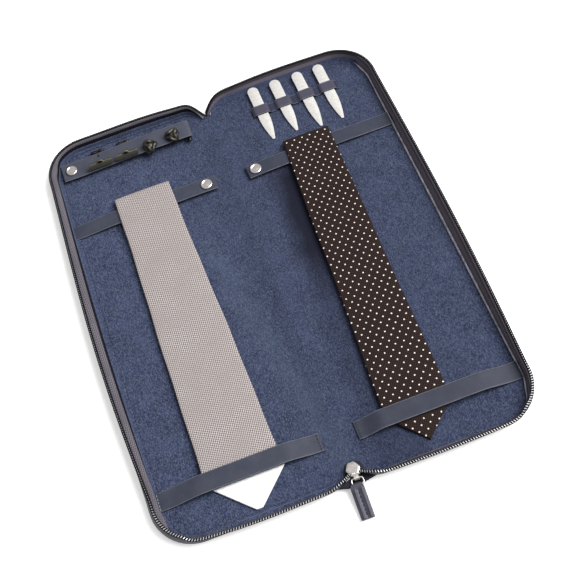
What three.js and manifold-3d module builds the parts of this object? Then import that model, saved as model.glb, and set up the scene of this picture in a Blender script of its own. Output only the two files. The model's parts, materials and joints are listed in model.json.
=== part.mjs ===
// Zip-around travel case for ties and jewellery, lying open and flat.
// Two shallow trays hang on a spine. The right tray holds collar stays and a pin dot tie,
// the left one cufflinks and a woven tie. The zip runs round both rims to the foot of the spine.
// Millimetres, +Z up, Y along the spine, origin under the middle of the spine.

import * as THREE from 'three';
import { mergeVertices } from 'three/addons/utils/BufferGeometryUtils.js';
import Module from 'manifold-3d';

const wasm = await Module();
wasm.setup();

// Clearance between pieces that touch, and how far a cutting tool runs past a face
const seam_gap = 0.3;
const cut_overrun = 2;

// Trays
const tray_half_length = 202.5;
const tray_half_width = 158.5;
const corner_radius = 36;
const rim_height = 15;
const outer_panel_thickness = 2;
const lining_thickness = 0.7;
const wall_thickness = 1.8;

// How far the rim leans out past the foot of the wall, from the foot of the spine round to its head
const foot_notch_bow = 3.2;
const foot_bow = 4.4;
const foot_corner_bow = 2.5;
const low_side_bow = -2.5;
const side_bow = 3.2;
const high_side_bow = -0.3;
const head_corner_bow = 2;
const head_bow = 3.4;
const head_notch_bow = -0.8;

// Notch where the rims dip to each end of the spine
const notch_radius = 26;
const notch_reach = 24;
const notch_turn_degrees = 45;
const notch_rim_height = 5.5;
const notch_rise = 17;
const foot_wall_start_x = 19;

// Heights up the rim as shares of the height over the outer panel
const wall_top_share = 0.68;
const tape_low_share = 0.71;
const tape_high_share = 0.85;
const chain_low_share = 0.88;

// Zip
const tape_thickness = 1;
const tape_inset = 0.4;
const chain_width = 2.6;
const chain_overhang = 0.4;

// Straps
const strap_thickness = 1.3;
const stitched_end = 8;
const foot_strap_width = 16.5;
const foot_strap_slope_run = 30;
const foot_strap_inner_run = 12;
const tie_strap_width = 15;
const tie_strap_slope_run = 40;
const snap_end = 9;
const right_snap_end = 8;

// Snap fasteners
const snap_cap_radius = 5.4;
const snap_cap_height = 1.5;
const snap_shank_radius = 1.5;
const snap_socket_radius = 4.8;
const snap_socket_height = 1.4;
const snap_stud_base_height = 0.8;
const snap_nub_radius = 1.9;

// Ties
const tie_thickness = 2.2;
const tie_end_width = 1.2;

// Grey woven tie in the left tray
const grey_tie_fold_x = -82.5;
const grey_tie_foot_x = -79.3;
const grey_tie_fold_width = 51;
const grey_tie_foot_width = 65;
const grey_tie_fold_reach = 26.3;
const grey_tie_point_room = 8;
const grey_tie_front_tuck = 5.5;

// Pin dot tie in the right tray
const dot_tie_fold_x = 75;
const dot_tie_foot_x = 64.7;
const dot_tie_fold_width = 44;
const dot_tie_foot_width = 55;
const dot_tie_fold_reach = 21;
const dot_tie_point_room = 11.2;

// Places of the straps: room to the tray's outer side and to its foot or head, and the inner end
const left_foot_strap_side_room = 7.5;
const left_foot_strap_foot_room = 33.5;
const left_foot_strap_end_x = -14.5;
const right_foot_strap_side_room = 4.5;
const right_foot_strap_foot_room = 31.5;
const right_foot_strap_end_x = 13.6;
const left_tie_strap_side_room = 3.2;
const left_tie_strap_head_room = 99.8;
const left_tie_strap_end_x = -16.5;
const right_tie_strap_side_room = 4.5;
const right_tie_strap_head_room = 96.5;
const right_tie_strap_end_x = 12.8;
const right_tie_strap_skew_degrees = 2.4;

// Cufflink strap
const cufflink_strap_end_x = -146;
const cufflink_strap_fold_x = -20.5;
const cufflink_strap_head_room = 35.1;
const cufflink_strap_width = 19.4;
const cufflink_strap_thickness = 1.2;
const cufflink_strap_clearance = 6;
const cufflink_strap_drop_x = -121.5;
const cufflink_strap_drop_run = 7;
const cufflink_strap_foot_length = 14;
const cufflink_strap_foot_width = 9.2;

// Cufflinks
const cufflink_pitch_degrees = 20.3;
const bar_head_reach = 11.8;
const knot_head_reach = 8;
const toggle_reach = 12.8;
const bar_slit_rise = 11.2;
const knot_slit_rise = 9.6;
const slit_length = 11;
const bar_one_x = -109.5;
const bar_two_x = -84.5;
const bar_length = 22;
const bar_height = 5.6;
const bar_depth = 2.8;
const knot_one_x = -61.5;
const knot_two_x = -31.3;
const knot_two_slit_rise = 4.2;
const knot_two_heading_degrees = -100;
const knot_two_toggle_reach = 8;
const knot_core_radius = 4.9;
const knot_ring_radius = 4.4;
const knot_cord_radius = 1.6;
const knot_turn_degrees = 36;
const post_radius = 0.8;
const toggle_radius = 1.8;
const toggle_length = 13;

// Collar stays and their loop strip
const stay_width = 10.3;
const stay_thickness = 0.8;
const stay_head_room = 2.3;
const stay_shoulder_share = 0.45;
const stay_taper_width_share = 0.8;
const stay_taper_length_share = 0.75;
const stay_corner_room = 7.6;
const stay_pitch = 22.3;
const stay_lengths = [65, 65, 69, 69];
const loop_strip_start = 9;
const loop_strip_tail = 7.1;
const loop_strip_drop = 34.2;
const loop_strip_width = 11;
const loop_strip_thickness = 1;
const loop_slope_run = 2.5;

// Zip end, slider and puller
const zip_end_foot_room = 9.5;
const zip_end_half_width = 4.6;
const zip_end_thickness = 0.6;
const zip_end_length = 14;
const zip_end_tail = 0.6;
const zip_end_side_room = 1.2;
const slider_width = 9.4;
const slider_length = 11;
const slider_plate_thickness = 1.1;
const slider_throat = 1.6;
const slider_post_width = 2.6;
const slider_cap_radius = 5.6;
const slider_cap_height = 1.6;
const slider_cap_sides = 6;
const slider_cap_corner_share = 1 / 3;
const slider_lug_width = 4;
const slider_lug_radius = 2.1;
const slider_lug_reach = 7.4;
const ring_wire_radius = 0.8;
const ring_reach = 6.2;
const ring_half_width = 4.9;
const ring_tension_share = 0.4;
const puller_width = 11;
const puller_neck_width = 7.4;
const puller_thickness = 3.2;
const puller_eye_radius = 2;
const puller_length = 26;
const puller_drop_degrees = 9.5;

// Steps round curves
const arc_steps = 10;
const edge_steps = 8;
const slope_steps = 6;
const fold_steps = 6;
const round_steps = 20;
const wire_steps = 8;

const degree = Math.PI / 180;
const foot_level = outer_panel_thickness + seam_gap;
const floor_level = foot_level + lining_thickness;
const rest_level = floor_level + seam_gap;
const spine_half_width = rim_height - floor_level + seam_gap / 2;
const rigid_edge_x = spine_half_width + seam_gap / 2;
const soft_edge_x = spine_half_width - seam_gap / 2;
const zip_end_y = zip_end_foot_room - tray_half_length;

// Where the straps, ties, cufflinks and stays lie, from the trays' sides and ends
const left_foot_strap_x = left_foot_strap_side_room - tray_half_width;
const left_foot_strap_y = left_foot_strap_foot_room - tray_half_length;
const right_foot_strap_x = tray_half_width - right_foot_strap_side_room;
const right_foot_strap_y = right_foot_strap_foot_room - tray_half_length;
const left_tie_strap_x = left_tie_strap_side_room - tray_half_width;
const left_tie_strap_y = tray_half_length - left_tie_strap_head_room;
const right_tie_strap_x = tray_half_width - right_tie_strap_side_room;
const right_tie_strap_y = tray_half_length - right_tie_strap_head_room;
const grey_tie_fold_y = left_tie_strap_y + grey_tie_fold_reach;
const grey_tie_point_y = grey_tie_point_room - tray_half_length;
const grey_tie_front_end_y = left_foot_strap_y + grey_tie_front_tuck;
const dot_tie_fold_y = right_tie_strap_y + dot_tie_fold_reach;
const dot_tie_point_y = dot_tie_point_room - tray_half_length;
const cufflink_strap_y = tray_half_length - cufflink_strap_head_room;
const stay_head_y = tray_half_length - stay_head_room;
const stay_last_x = tray_half_width - corner_radius - stay_corner_room;
const stay_first_x = stay_last_x - (stay_lengths.length - 1) * stay_pitch;

function finish(roughness, metalness, red, green, blue) {
  return new THREE.MeshStandardMaterial({ color: new THREE.Color(red, green, blue), roughness, metalness });
}

const leather = finish(0.6, 0, 0.09, 0.1, 0.14);
const suede = finish(0.95, 0, 0.1, 0.14, 0.27);
const tape_cloth = finish(0.9, 0, 0.12, 0.13, 0.17);
const zip_metal = finish(0.35, 0.9, 0.4, 0.4, 0.42);
const steel = finish(0.25, 1, 0.75, 0.73, 0.7);
const dark_metal = finish(0.4, 0.9, 0.1, 0.1, 0.08);
const grey_silk = finish(0.7, 0, 0.5, 0.48, 0.48);
const white_satin = finish(0.6, 0, 0.85, 0.86, 0.88);
const brown_silk = finish(0.7, 0, 0.09, 0.05, 0.04);

// Manifold solid of a closed geometry
function solidOf(geometry) {
  const bare = new THREE.BufferGeometry();
  bare.setAttribute('position', geometry.getAttribute('position').clone());
  if (geometry.index) bare.setIndex(geometry.index.clone());
  const merged = mergeVertices(bare);
  return new wasm.Manifold(new wasm.Mesh({
    numProp: 3,
    vertProperties: new Float32Array(merged.getAttribute('position').array),
    triVerts: new Uint32Array(merged.index.array),
  }));
}

function geometryOf(solid) {
  const { numProp, vertProperties, triVerts } = solid.getMesh();
  const positions = [];
  for (let start = 0; start < vertProperties.length; start += numProp) {
    positions.push(...vertProperties.slice(start, start + 3));
  }
  const geometry = new THREE.BufferGeometry();
  geometry.setAttribute('position', new THREE.Float32BufferAttribute(positions, 3));
  geometry.setIndex([...triVerts]);
  geometry.computeVertexNormals();
  return geometry;
}

function cut(geometry, ...tools) {
  return geometryOf(tools.reduce((solid, tool) => solid.subtract(solidOf(tool)), solidOf(geometry)));
}

function join(geometry, ...others) {
  return geometryOf(others.reduce((solid, other) => solid.add(solidOf(other)), solidOf(geometry)));
}

// Turns the faces of a closed geometry outwards
function facingOut(geometry) {
  const at = geometry.getAttribute('position');
  const index = geometry.index.array;
  const [a, b, c] = [new THREE.Vector3(), new THREE.Vector3(), new THREE.Vector3()];
  let volume = 0;
  for (let face = 0; face < index.length; face += 3) {
    a.fromBufferAttribute(at, index[face]);
    b.fromBufferAttribute(at, index[face + 1]);
    c.fromBufferAttribute(at, index[face + 2]);
    volume += a.dot(b.cross(c));
  }
  if (volume < 0) geometry.setIndex([...index].reverse());
  geometry.computeVertexNormals();
  return geometry;
}

// Closed solid through rings of as many points each, capped at both ends
function loft(rings) {
  const count = rings[0].length;
  const last = (rings.length - 1) * count;
  const index = [];
  for (let ring = 0; ring < last; ring += count) {
    for (let corner = 0; corner < count; corner++) {
      const a = ring + corner;
      const b = ring + ((corner + 1) % count);
      index.push(a, b, b + count, a, b + count, a + count);
    }
  }
  for (let corner = 1; corner + 1 < count; corner++) {
    index.push(0, corner + 1, corner, last, last + corner, last + corner + 1);
  }
  const geometry = new THREE.BufferGeometry();
  const positions = rings.flat().flatMap((point) => [point.x, point.y, point.z]);
  geometry.setAttribute('position', new THREE.Float32BufferAttribute(positions, 3));
  geometry.setIndex(index);
  return facingOut(geometry);
}

function smooth(share) {
  return share * share * (3 - 2 * share);
}

function mix(from, to, share) {
  return from + (to - from) * share;
}

function box(width, depth, height, x = 0, y = 0, z = 0) {
  return new THREE.BoxGeometry(width, depth, height).translate(x, y, z);
}

function upright(profile, steps = round_steps) {
  const points = profile.map(([radius, z]) => new THREE.Vector2(radius, z));
  return new THREE.LatheGeometry(points, steps).rotateX(Math.PI / 2);
}

// Stations along the rim: a point of the foot outline, the way out, and how far the rim bows there
function arcStations(x, y, radius, from, to, steps, from_bow, to_bow = from_bow) {
  return Array.from({ length: steps + 1 }, (_, step) => {
    const angle = mix(from, to, step / steps) * degree;
    const out = new THREE.Vector2(Math.cos(angle), Math.sin(angle));
    const foot = new THREE.Vector2(x + radius * out.x, y + radius * out.y);
    return { foot, out, bow: mix(from_bow, to_bow, step / steps) };
  });
}

function edgeStations(from, to, out, from_bow, middle_bow, to_bow) {
  return Array.from({ length: edge_steps - 1 }, (_, step) => {
    const share = (step + 1) / edge_steps;
    const bow = mix(mix(from_bow, to_bow, share), middle_bow, Math.sin(Math.PI * share));
    return { foot: from.clone().lerp(to, share), out, bow };
  });
}

// Angle at which the notch curve crosses the line X = x
function notchAngle(x) {
  return Math.asin((notch_reach - x) / notch_radius) / degree;
}

// Outline of the right tray, from X = start at the foot of the spine round to its head
function trayStations(start) {
  const foot_turn = notchAngle(start);
  const head_turn = notchAngle(rigid_edge_x);
  const notch_y = tray_half_length - notch_radius;
  const corner_x = tray_half_width - corner_radius;
  const corner_y = tray_half_length - corner_radius;
  const at = (x, y) => new THREE.Vector2(x, y);
  const foot = [at(notch_reach, -tray_half_length), at(corner_x, -tray_half_length), at(0, -1)];
  const side = [at(tray_half_width, -corner_y), at(tray_half_width, corner_y), at(1, 0)];
  const head = [at(corner_x, tray_half_length), at(notch_reach, tray_half_length), at(0, 1)];
  return [
    ...arcStations(notch_reach, -notch_y, notch_radius, -90 - foot_turn, -90, slope_steps, foot_notch_bow),
    ...edgeStations(...foot, foot_notch_bow, foot_bow, foot_corner_bow),
    ...arcStations(corner_x, -corner_y, corner_radius, -90, 0, arc_steps, foot_corner_bow, low_side_bow),
    ...edgeStations(...side, low_side_bow, side_bow, high_side_bow),
    ...arcStations(corner_x, corner_y, corner_radius, 0, 90, arc_steps, high_side_bow, head_corner_bow),
    ...edgeStations(...head, head_corner_bow, head_bow, head_notch_bow),
    ...arcStations(notch_reach, notch_y, notch_radius, 90, 90 + head_turn, slope_steps, head_notch_bow),
  ];
}

// Soft end of the rim at the head of the spine, from X = start in to X = end
function notchStations(start, end, bow) {
  const notch_y = tray_half_length - notch_radius;
  const from = notchAngle(start);
  const turn = notch_turn_degrees;
  const curve = arcStations(notch_reach, notch_y, notch_radius, 90 + from, 90 + turn, slope_steps, bow);
  const bend = curve[curve.length - 1];
  const slope = Math.tan(turn * degree);
  const foot = new THREE.Vector2(end, bend.foot.y - (bend.foot.x - end) * slope);
  return end < bend.foot.x ? [...curve, { ...bend, foot }] : curve.filter(({ foot: { x } }) => x >= end);
}

function rimLevel(x) {
  return mix(notch_rim_height, rim_height, smooth(Math.min(Math.abs(x) / notch_rise, 1)));
}

// Point of the wall at a station: out from the foot outline, and a share of the way up
function wallPoint(station, out, share, side = 1, end = 1) {
  const reach = out + station.bow * share;
  return new THREE.Vector3(
    side * (station.foot.x + station.out.x * reach),
    end * (station.foot.y + station.out.y * reach),
    mix(foot_level, rimLevel(station.foot.x), share),
  );
}

function band(stations, inner, outer, low, high, side, end = 1) {
  return loft(stations.map((station) => [
    wallPoint(station, inner, low, side, end),
    wallPoint(station, outer, low, side, end),
    wallPoint(station, outer, high, side, end),
    wallPoint(station, inner, high, side, end),
  ]));
}

function wall(side) {
  return band(trayStations(foot_wall_start_x), -wall_thickness, 0, 0, wall_top_share, side);
}

function tape(side) {
  const outer = -tape_inset;
  const stations = trayStations(foot_wall_start_x);
  return band(stations, outer - tape_thickness, outer, tape_low_share, tape_high_share, side);
}

function chain(side) {
  const outer = chain_overhang;
  return band(trayStations(foot_wall_start_x), outer - chain_width, outer, chain_low_share, 1, side);
}

function softWallEnd(side, end, outer_x, inner_x, bow) {
  return band(notchStations(outer_x, inner_x, bow), -wall_thickness, 0, 0, 1, side, end);
}

// Flat plate with the outline of a tray, inset on all edges but the spine's
function trayPlate(side, inset, bottom, thickness) {
  const inner = trayStations(rigid_edge_x).map(({ foot, out }) => foot.clone().addScaledVector(out, -inset));
  const outline = inner.map(({ x, y }) => new THREE.Vector2(side * Math.max(x, rigid_edge_x), y));
  return plate(outline, bottom, thickness);
}

function plate(outline, bottom, thickness) {
  const shape = new THREE.Shape(outline);
  return new THREE.ExtrudeGeometry(shape, { depth: thickness, bevelEnabled: false }).translate(0, 0, bottom);
}

// Flat strip on the spine, whose ends follow the notch
function spinePlate(inset, bottom, thickness) {
  const stations = notchStations(soft_edge_x, 0, head_notch_bow);
  const half = stations.map(({ foot, out }) => foot.clone().addScaledVector(out, -inset));
  const bottom_point = half[half.length - 1];
  half[0].x = soft_edge_x;
  bottom_point.y -= bottom_point.x * Math.tan(notch_turn_degrees * degree);
  bottom_point.x = 0;
  const mirrored = half.slice(0, -1).reverse().map(({ x, y }) => new THREE.Vector2(-x, y));
  const head = [...half, ...mirrored];
  const foot = head.map(({ x, y }) => new THREE.Vector2(-x, -y));
  return plate([...head, ...foot], bottom, thickness);
}

// Path of [x, z] points with soft slopes between them
function easedPath(points) {
  const path = [points[0]];
  for (let next = 1; next < points.length; next++) {
    const [x, z] = points[next - 1];
    const [end_x, end_z] = points[next];
    const steps = z === end_z ? 1 : slope_steps;
    for (let step = 1; step <= steps; step++) {
      path.push([mix(x, end_x, step / steps), mix(z, end_z, smooth(step / steps))]);
    }
  }
  return path;
}

// Strip of leather along X, with its underside on a path, skewed about its first point
function strip(path, low, width, thickness, skew_degrees = 0) {
  const skew = Math.tan(skew_degrees * degree);
  return loft(path.map(([x, z]) => {
    const y = low + skew * (x - path[0][0]);
    return [
      new THREE.Vector3(x, y, z),
      new THREE.Vector3(x, y + width, z),
      new THREE.Vector3(x, y + width, z + thickness),
      new THREE.Vector3(x, y, z + thickness),
    ];
  }));
}

// Heights of the layers stacked on the lining
const tie_back_top = rest_level + tie_thickness;
const tie_strap_level = tie_back_top + seam_gap;
const tie_front_on_back = tie_back_top + seam_gap;
const tie_front_on_strap = tie_strap_level + strap_thickness + seam_gap;
const foot_strap_level = tie_front_on_back + tie_thickness + seam_gap;
const snap_socket_level = rest_level + snap_stud_base_height + seam_gap;
const snap_strap_level = snap_socket_level + snap_socket_height + seam_gap;

// Strap stitched down at both ends, over a tie between the two X values
function footStrap(outer_x, inner_x, low, tie_outer_x, tie_inner_x) {
  const out = Math.sign(outer_x);
  const slope_end = Math.abs(outer_x) - stitched_end - foot_strap_slope_run;
  return strip(easedPath([
    [outer_x, rest_level],
    [outer_x - out * stitched_end, rest_level],
    [out * Math.max(slope_end, Math.abs(tie_outer_x) + seam_gap), foot_strap_level],
    [tie_inner_x - out * seam_gap, foot_strap_level],
    [tie_inner_x - out * foot_strap_inner_run, rest_level],
    [inner_x, rest_level],
  ]), low, foot_strap_width, strap_thickness);
}

// Strap stitched at its outer end and snapped at its inner end, under a folded tie
function tieStrap(outer_x, inner_x, low, tie_outer_x, tie_inner_x, snap_room, skew_degrees) {
  const out = Math.sign(outer_x);
  const path = easedPath([
    [outer_x, rest_level],
    [outer_x - out * stitched_end, rest_level],
    [tie_outer_x + out * seam_gap, tie_strap_level],
    [tie_inner_x - out * seam_gap, tie_strap_level],
    [inner_x + out * snap_room * 2, snap_strap_level],
    [inner_x, snap_strap_level],
  ]);
  return strip(path, low, tie_strap_width, strap_thickness, skew_degrees);
}

function shankHole(x, y, z) {
  const hole = new THREE.CylinderGeometry(
    snap_shank_radius + seam_gap, snap_shank_radius + seam_gap, strap_thickness + cut_overrun, round_steps,
  );
  return hole.rotateX(Math.PI / 2).translate(x, y, z + strap_thickness / 2);
}

// Domed cap with its shank, seen on top of a strap
function snapCap() {
  const under = strap_thickness + seam_gap;
  const shank_foot = -(seam_gap + snap_socket_height / 2);
  return upright([
    [0, shank_foot], [snap_shank_radius, shank_foot], [snap_shank_radius, under],
    [snap_cap_radius, under], [snap_cap_radius, under + snap_cap_height / 2],
    [snap_cap_radius - snap_cap_height / 2, under + snap_cap_height],
    [0, under + snap_cap_height],
  ]);
}

// Ring under the strap, open below for the stud's nub and above for the cap's shank
function snapSocket() {
  const mouth = snap_nub_radius + seam_gap;
  return upright([
    [mouth, 0], [snap_socket_radius, 0], [snap_socket_radius, snap_socket_height],
    [mouth, snap_socket_height], [mouth, 0],
  ]);
}

// Round base on the lining with a short nub
function snapStud() {
  const nub_top = snap_stud_base_height + snap_socket_height / 2;
  return upright([
    [0, 0], [snap_socket_radius, 0], [snap_socket_radius, snap_stud_base_height],
    [snap_nub_radius, snap_stud_base_height], [snap_nub_radius, nub_top], [0, nub_top],
  ]);
}

// One layer station of a tie: where its middle line runs and which way its face looks
function tieRing(station, tie) {
  const along = (tie.fold_y - station.y) / (tie.fold_y - tie.point_y);
  const x = mix(tie.fold_x, tie.foot_x, Math.max(along, 0));
  const half = station.half_width ?? mix(tie.fold_width, tie.foot_width, Math.max(along, 0)) / 2;
  const up = new THREE.Vector3(0, -Math.sin(station.tilt), Math.cos(station.tilt));
  up.multiplyScalar(tie_thickness / 2);
  const middle = new THREE.Vector3(x, station.y, station.z);
  const across = new THREE.Vector3(half, 0, 0);
  return [
    middle.clone().add(across).add(up), middle.clone().sub(across).add(up),
    middle.clone().sub(across).sub(up), middle.clone().add(across).sub(up),
  ];
}

// Tie folded in two over its strap: back layer, fold, front layer, then a square end or a point
function foldedTie(tie) {
  const back_z = rest_level + tie_thickness / 2;
  const over_z = tie_front_on_strap + tie_thickness / 2;
  const front_z = tie_front_on_back + tie_thickness / 2;
  const fold_radius = (over_z - back_z) / 2;
  const fold_y = tie.fold_y - fold_radius - tie_thickness / 2;
  const stations = [{ y: tie.back_end_y, z: back_z, tilt: 0 }];
  for (let step = 0; step <= fold_steps; step++) {
    const angle = mix(-Math.PI / 2, Math.PI / 2, step / fold_steps);
    stations.push({
      y: fold_y + fold_radius * Math.cos(angle),
      z: back_z + fold_radius * (1 + Math.sin(angle)),
      tilt: angle + Math.PI / 2,
    });
  }
  for (let step = 0; step <= slope_steps; step++) {
    const share = step / slope_steps;
    stations.push({
      y: tie.strap_low - tie_thickness - share * tie_strap_slope_run,
      z: mix(over_z, front_z, smooth(share)),
      tilt: Math.PI,
    });
  }
  stations.push(...tie.ending(front_z));
  return loft(stations.map((station) => tieRing(station, tie)));
}

// Point of a tie blade, sinking to the lining
function pointedEnding(tie, from_z, to_z, start_y, tilt) {
  const half = tie.foot_width / 2;
  const path = [
    [start_y, half], [tie.point_y + half, half],
    [tie.point_y + half / 2, half / 2], [tie.point_y, tie_end_width / 2],
  ];
  return path.map(([y, half_width]) => ({
    y,
    half_width,
    tilt,
    z: mix(from_z, to_z, smooth(Math.min((start_y - y) / (start_y - tie.point_y), 1))),
  }));
}

// The ties' own values, from the sizes above
const grey_tie = {
  fold_x: grey_tie_fold_x, foot_x: grey_tie_foot_x, fold_y: grey_tie_fold_y, point_y: grey_tie_point_y,
  fold_width: grey_tie_fold_width, foot_width: grey_tie_foot_width, strap_low: left_tie_strap_y,
  back_end_y: left_foot_strap_y + foot_strap_width + snap_end,
  ending: (z) => [{ y: grey_tie_front_end_y, z, tilt: Math.PI }],
};
const right_skew = Math.tan(right_tie_strap_skew_degrees * degree);
const dot_tie = {
  fold_x: dot_tie_fold_x, foot_x: dot_tie_foot_x, fold_y: dot_tie_fold_y, point_y: dot_tie_point_y,
  fold_width: dot_tie_fold_width, foot_width: dot_tie_foot_width,
  strap_low: right_tie_strap_y - (right_tie_strap_x - dot_tie_fold_x) * right_skew,
  back_end_y: right_foot_strap_y + foot_strap_width + snap_end,
  ending: (z) => pointedEnding(
    dot_tie, z, rest_level + tie_thickness / 2, right_foot_strap_y + foot_strap_width, Math.PI,
  ),
};

function tieEdgeX(tie, y, side) {
  const along = (tie.fold_y - y) / (tie.fold_y - tie.point_y);
  return mix(tie.fold_x, tie.foot_x, along) + side * mix(tie.fold_width, tie.foot_width, along) / 2;
}

// White lined point under the grey tie's front
function whitePoint() {
  const level = rest_level + tie_thickness / 2;
  const stations = pointedEnding(grey_tie, level, level, left_foot_strap_y + foot_strap_width, 0);
  return loft(stations.map((station) => tieRing(station, grey_tie)));
}

// Cufflink strap: a short foot stitched down at the right, a fold, and a raised run with a dropped snap end
const cufflink_strap_level = floor_level + cufflink_strap_clearance;

function cufflinkStrap() {
  const half = cufflink_strap_thickness / 2;
  const foot_z = rest_level + half;
  const run_z = cufflink_strap_level + half;
  const fold_radius = (run_z - foot_z) / 2;
  const fold_x = cufflink_strap_fold_x - fold_radius - half;
  const middle = [{ x: fold_x - cufflink_strap_foot_length, z: foot_z, tilt: 0 }];
  for (let step = 0; step <= fold_steps; step++) {
    const angle = mix(-Math.PI / 2, Math.PI / 2, step / fold_steps);
    middle.push({
      x: fold_x + fold_radius * Math.cos(angle),
      z: foot_z + fold_radius * (1 + Math.sin(angle)),
      tilt: angle + Math.PI / 2,
    });
  }
  const drop_end = cufflink_strap_drop_x - cufflink_strap_drop_run;
  const end_z = snap_strap_level + half;
  const drop = easedPath([[cufflink_strap_drop_x, run_z], [drop_end, end_z], [cufflink_strap_end_x, end_z]]);
  middle.push(...drop.map(([x, z]) => ({ x, z, tilt: Math.PI })));
  const high_y = cufflink_strap_y + cufflink_strap_width;
  const rings = middle.map(({ x, z, tilt }) => {
    const up = new THREE.Vector3(-Math.sin(tilt), 0, Math.cos(tilt)).multiplyScalar(half);
    const low = new THREE.Vector3(x, cufflink_strap_y, z);
    const high = new THREE.Vector3(x, high_y, z);
    return [low.clone().add(up), high.clone().add(up), high.clone().sub(up), low.clone().sub(up)];
  });
  const spare = cufflink_strap_width - cufflink_strap_foot_width;
  const foot_cut_length = cufflink_strap_foot_length + 2 * (fold_radius + cut_overrun);
  const foot_cut_height = cufflink_strap_level - foot_z + cut_overrun;
  const foot_cut = box(
    foot_cut_length, spare + cut_overrun, foot_cut_height,
    fold_x - cufflink_strap_foot_length / 2, cufflink_strap_y + (spare - cut_overrun) / 2,
    cufflink_strap_level - foot_cut_height / 2,
  );
  return cut(loft(rings), foot_cut, ...cufflinkPlaces().map(slitTool));
}

// Where each post goes through the strap, and the way it leans
function cufflinkPlaces() {
  const z = cufflink_strap_level + cufflink_strap_thickness / 2;
  const [bar_y, knot_y, knot_two_y] = [bar_slit_rise, knot_slit_rise, knot_two_slit_rise]
    .map((rise) => cufflink_strap_y + rise);
  const bar = { kind: 'bar', head: bar_head_reach, toggle: toggle_reach, y: bar_y, z, heading: 0 };
  const knot = { kind: 'knot', head: knot_head_reach, toggle: toggle_reach, y: knot_y, z, heading: 0 };
  const turned = { toggle: knot_two_toggle_reach, y: knot_two_y, heading: knot_two_heading_degrees };
  return [
    { ...bar, name: 'bar_cufflink_1', x: bar_one_x },
    { ...bar, name: 'bar_cufflink_2', x: bar_two_x },
    { ...knot, name: 'knot_cufflink_1', x: knot_one_x },
    { ...knot, ...turned, name: 'knot_cufflink_2', x: knot_two_x },
  ];
}

// From a cufflink's own frame, with its toggle towards +Y, to the tray
function placing(place) {
  const turn = new THREE.Euler(-cufflink_pitch_degrees * degree, 0, place.heading * degree, 'ZYX');
  return new THREE.Matrix4().makeRotationFromEuler(turn).setPosition(place.x, place.y, place.z);
}

function leaned(geometry, place) {
  return geometry.applyMatrix4(placing(place));
}

function slitTool(place) {
  const across = 2 * (post_radius + seam_gap);
  return leaned(box(across, slit_length, across), place);
}

function alongY(radius, from, to) {
  const rod = new THREE.CylinderGeometry(radius, radius, to - from, round_steps / 2);
  return rod.translate(0, (from + to) / 2, 0);
}

// Head with its post, in the cufflink's own frame
function barHead(place) {
  const post = alongY(post_radius, -place.head, place.toggle);
  const straight = bar_length - bar_height;
  const plank = box(straight, bar_depth, bar_height, 0, -place.head);
  const ends = [-1, 1].map((side) => {
    const end = new THREE.CylinderGeometry(bar_height / 2, bar_height / 2, bar_depth, round_steps);
    return end.translate(side * straight / 2, -place.head, 0);
  });
  return leaned(join(plank, ...ends, post), place);
}

function knotHead(place) {
  const post = alongY(post_radius, -place.head, place.toggle);
  const core = new THREE.SphereGeometry(knot_core_radius, round_steps, round_steps / 2);
  const ring = () => new THREE.TorusGeometry(knot_ring_radius, knot_cord_radius, wire_steps, round_steps);
  const rings = [ring(), ring().rotateX(Math.PI / 2), ring().rotateY(Math.PI / 2)];
  const turn = knot_turn_degrees * degree;
  const ball = join(core, ...rings).rotateX(turn).rotateZ(turn).translate(0, -place.head, 0);
  const top = cufflink_strap_level + cufflink_strap_thickness + seam_gap;
  const wide = bar_length * 2;
  const strap_side = box(wide, wide, wide, place.x, place.y, top - wide / 2);
  const seated = solidOf(leaned(ball, place)).subtract(solidOf(strap_side));
  return geometryOf(seated.add(solidOf(leaned(post, place))));
}

// Level cross bar on the end of a post, grooved so that it can turn under the post in line with it
function toggle() {
  const bar = new THREE.CylinderGeometry(toggle_radius, toggle_radius, toggle_length, round_steps / 2);
  bar.rotateZ(Math.PI / 2);
  const clear = post_radius + seam_gap;
  const groove_length = toggle_length / 2 + clear + cut_overrun;
  const groove_depth = toggle_radius + clear + cut_overrun;
  const groove = box(
    groove_length, groove_depth, groove_depth,
    groove_length / 2 - clear, clear - groove_depth / 2, groove_depth / 2 - clear,
  );
  return cut(bar, groove);
}

// Collar stay: round head, straight sides, long taper to a point
function stay(length) {
  const half = stay_width / 2;
  const shoulder = -length * stay_shoulder_share;
  const outline = new THREE.Shape();
  outline.moveTo(half, shoulder);
  outline.lineTo(half, -half);
  outline.absarc(0, -half, half, 0, Math.PI, false);
  outline.lineTo(-half, shoulder);
  const waist = half * stay_taper_width_share;
  const waist_y = -length * stay_taper_length_share;
  outline.quadraticCurveTo(-waist, waist_y, 0, -length);
  outline.quadraticCurveTo(waist, waist_y, half, shoulder);
  const depth = stay_thickness;
  return new THREE.ExtrudeGeometry(outline, { depth, bevelEnabled: false, curveSegments: slope_steps });
}

// Strip stitched down between the stays and arched over each
function loopStrip() {
  const over = rest_level + stay_thickness + seam_gap;
  const points = [[stay_first_x - loop_strip_start, rest_level]];
  stay_lengths.forEach((_, place) => {
    const x = stay_first_x + place * stay_pitch;
    const reach = stay_width / 2 + seam_gap;
    points.push([x - reach - loop_slope_run, rest_level], [x - reach, over]);
    points.push([x + reach, over], [x + reach + loop_slope_run, rest_level]);
  });
  points.push([stay_last_x + loop_strip_tail, rest_level]);
  return strip(easedPath(points), stay_head_y - loop_strip_drop, loop_strip_width, loop_strip_thickness);
}

// Slider, in the frame of the zip end: nose towards +Y, cap up
const slider_foot = rest_level + zip_end_thickness + seam_gap;
const slider_top = slider_foot + 2 * slider_plate_thickness + slider_throat;
const lug_z = slider_top - slider_plate_thickness / 2;

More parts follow.
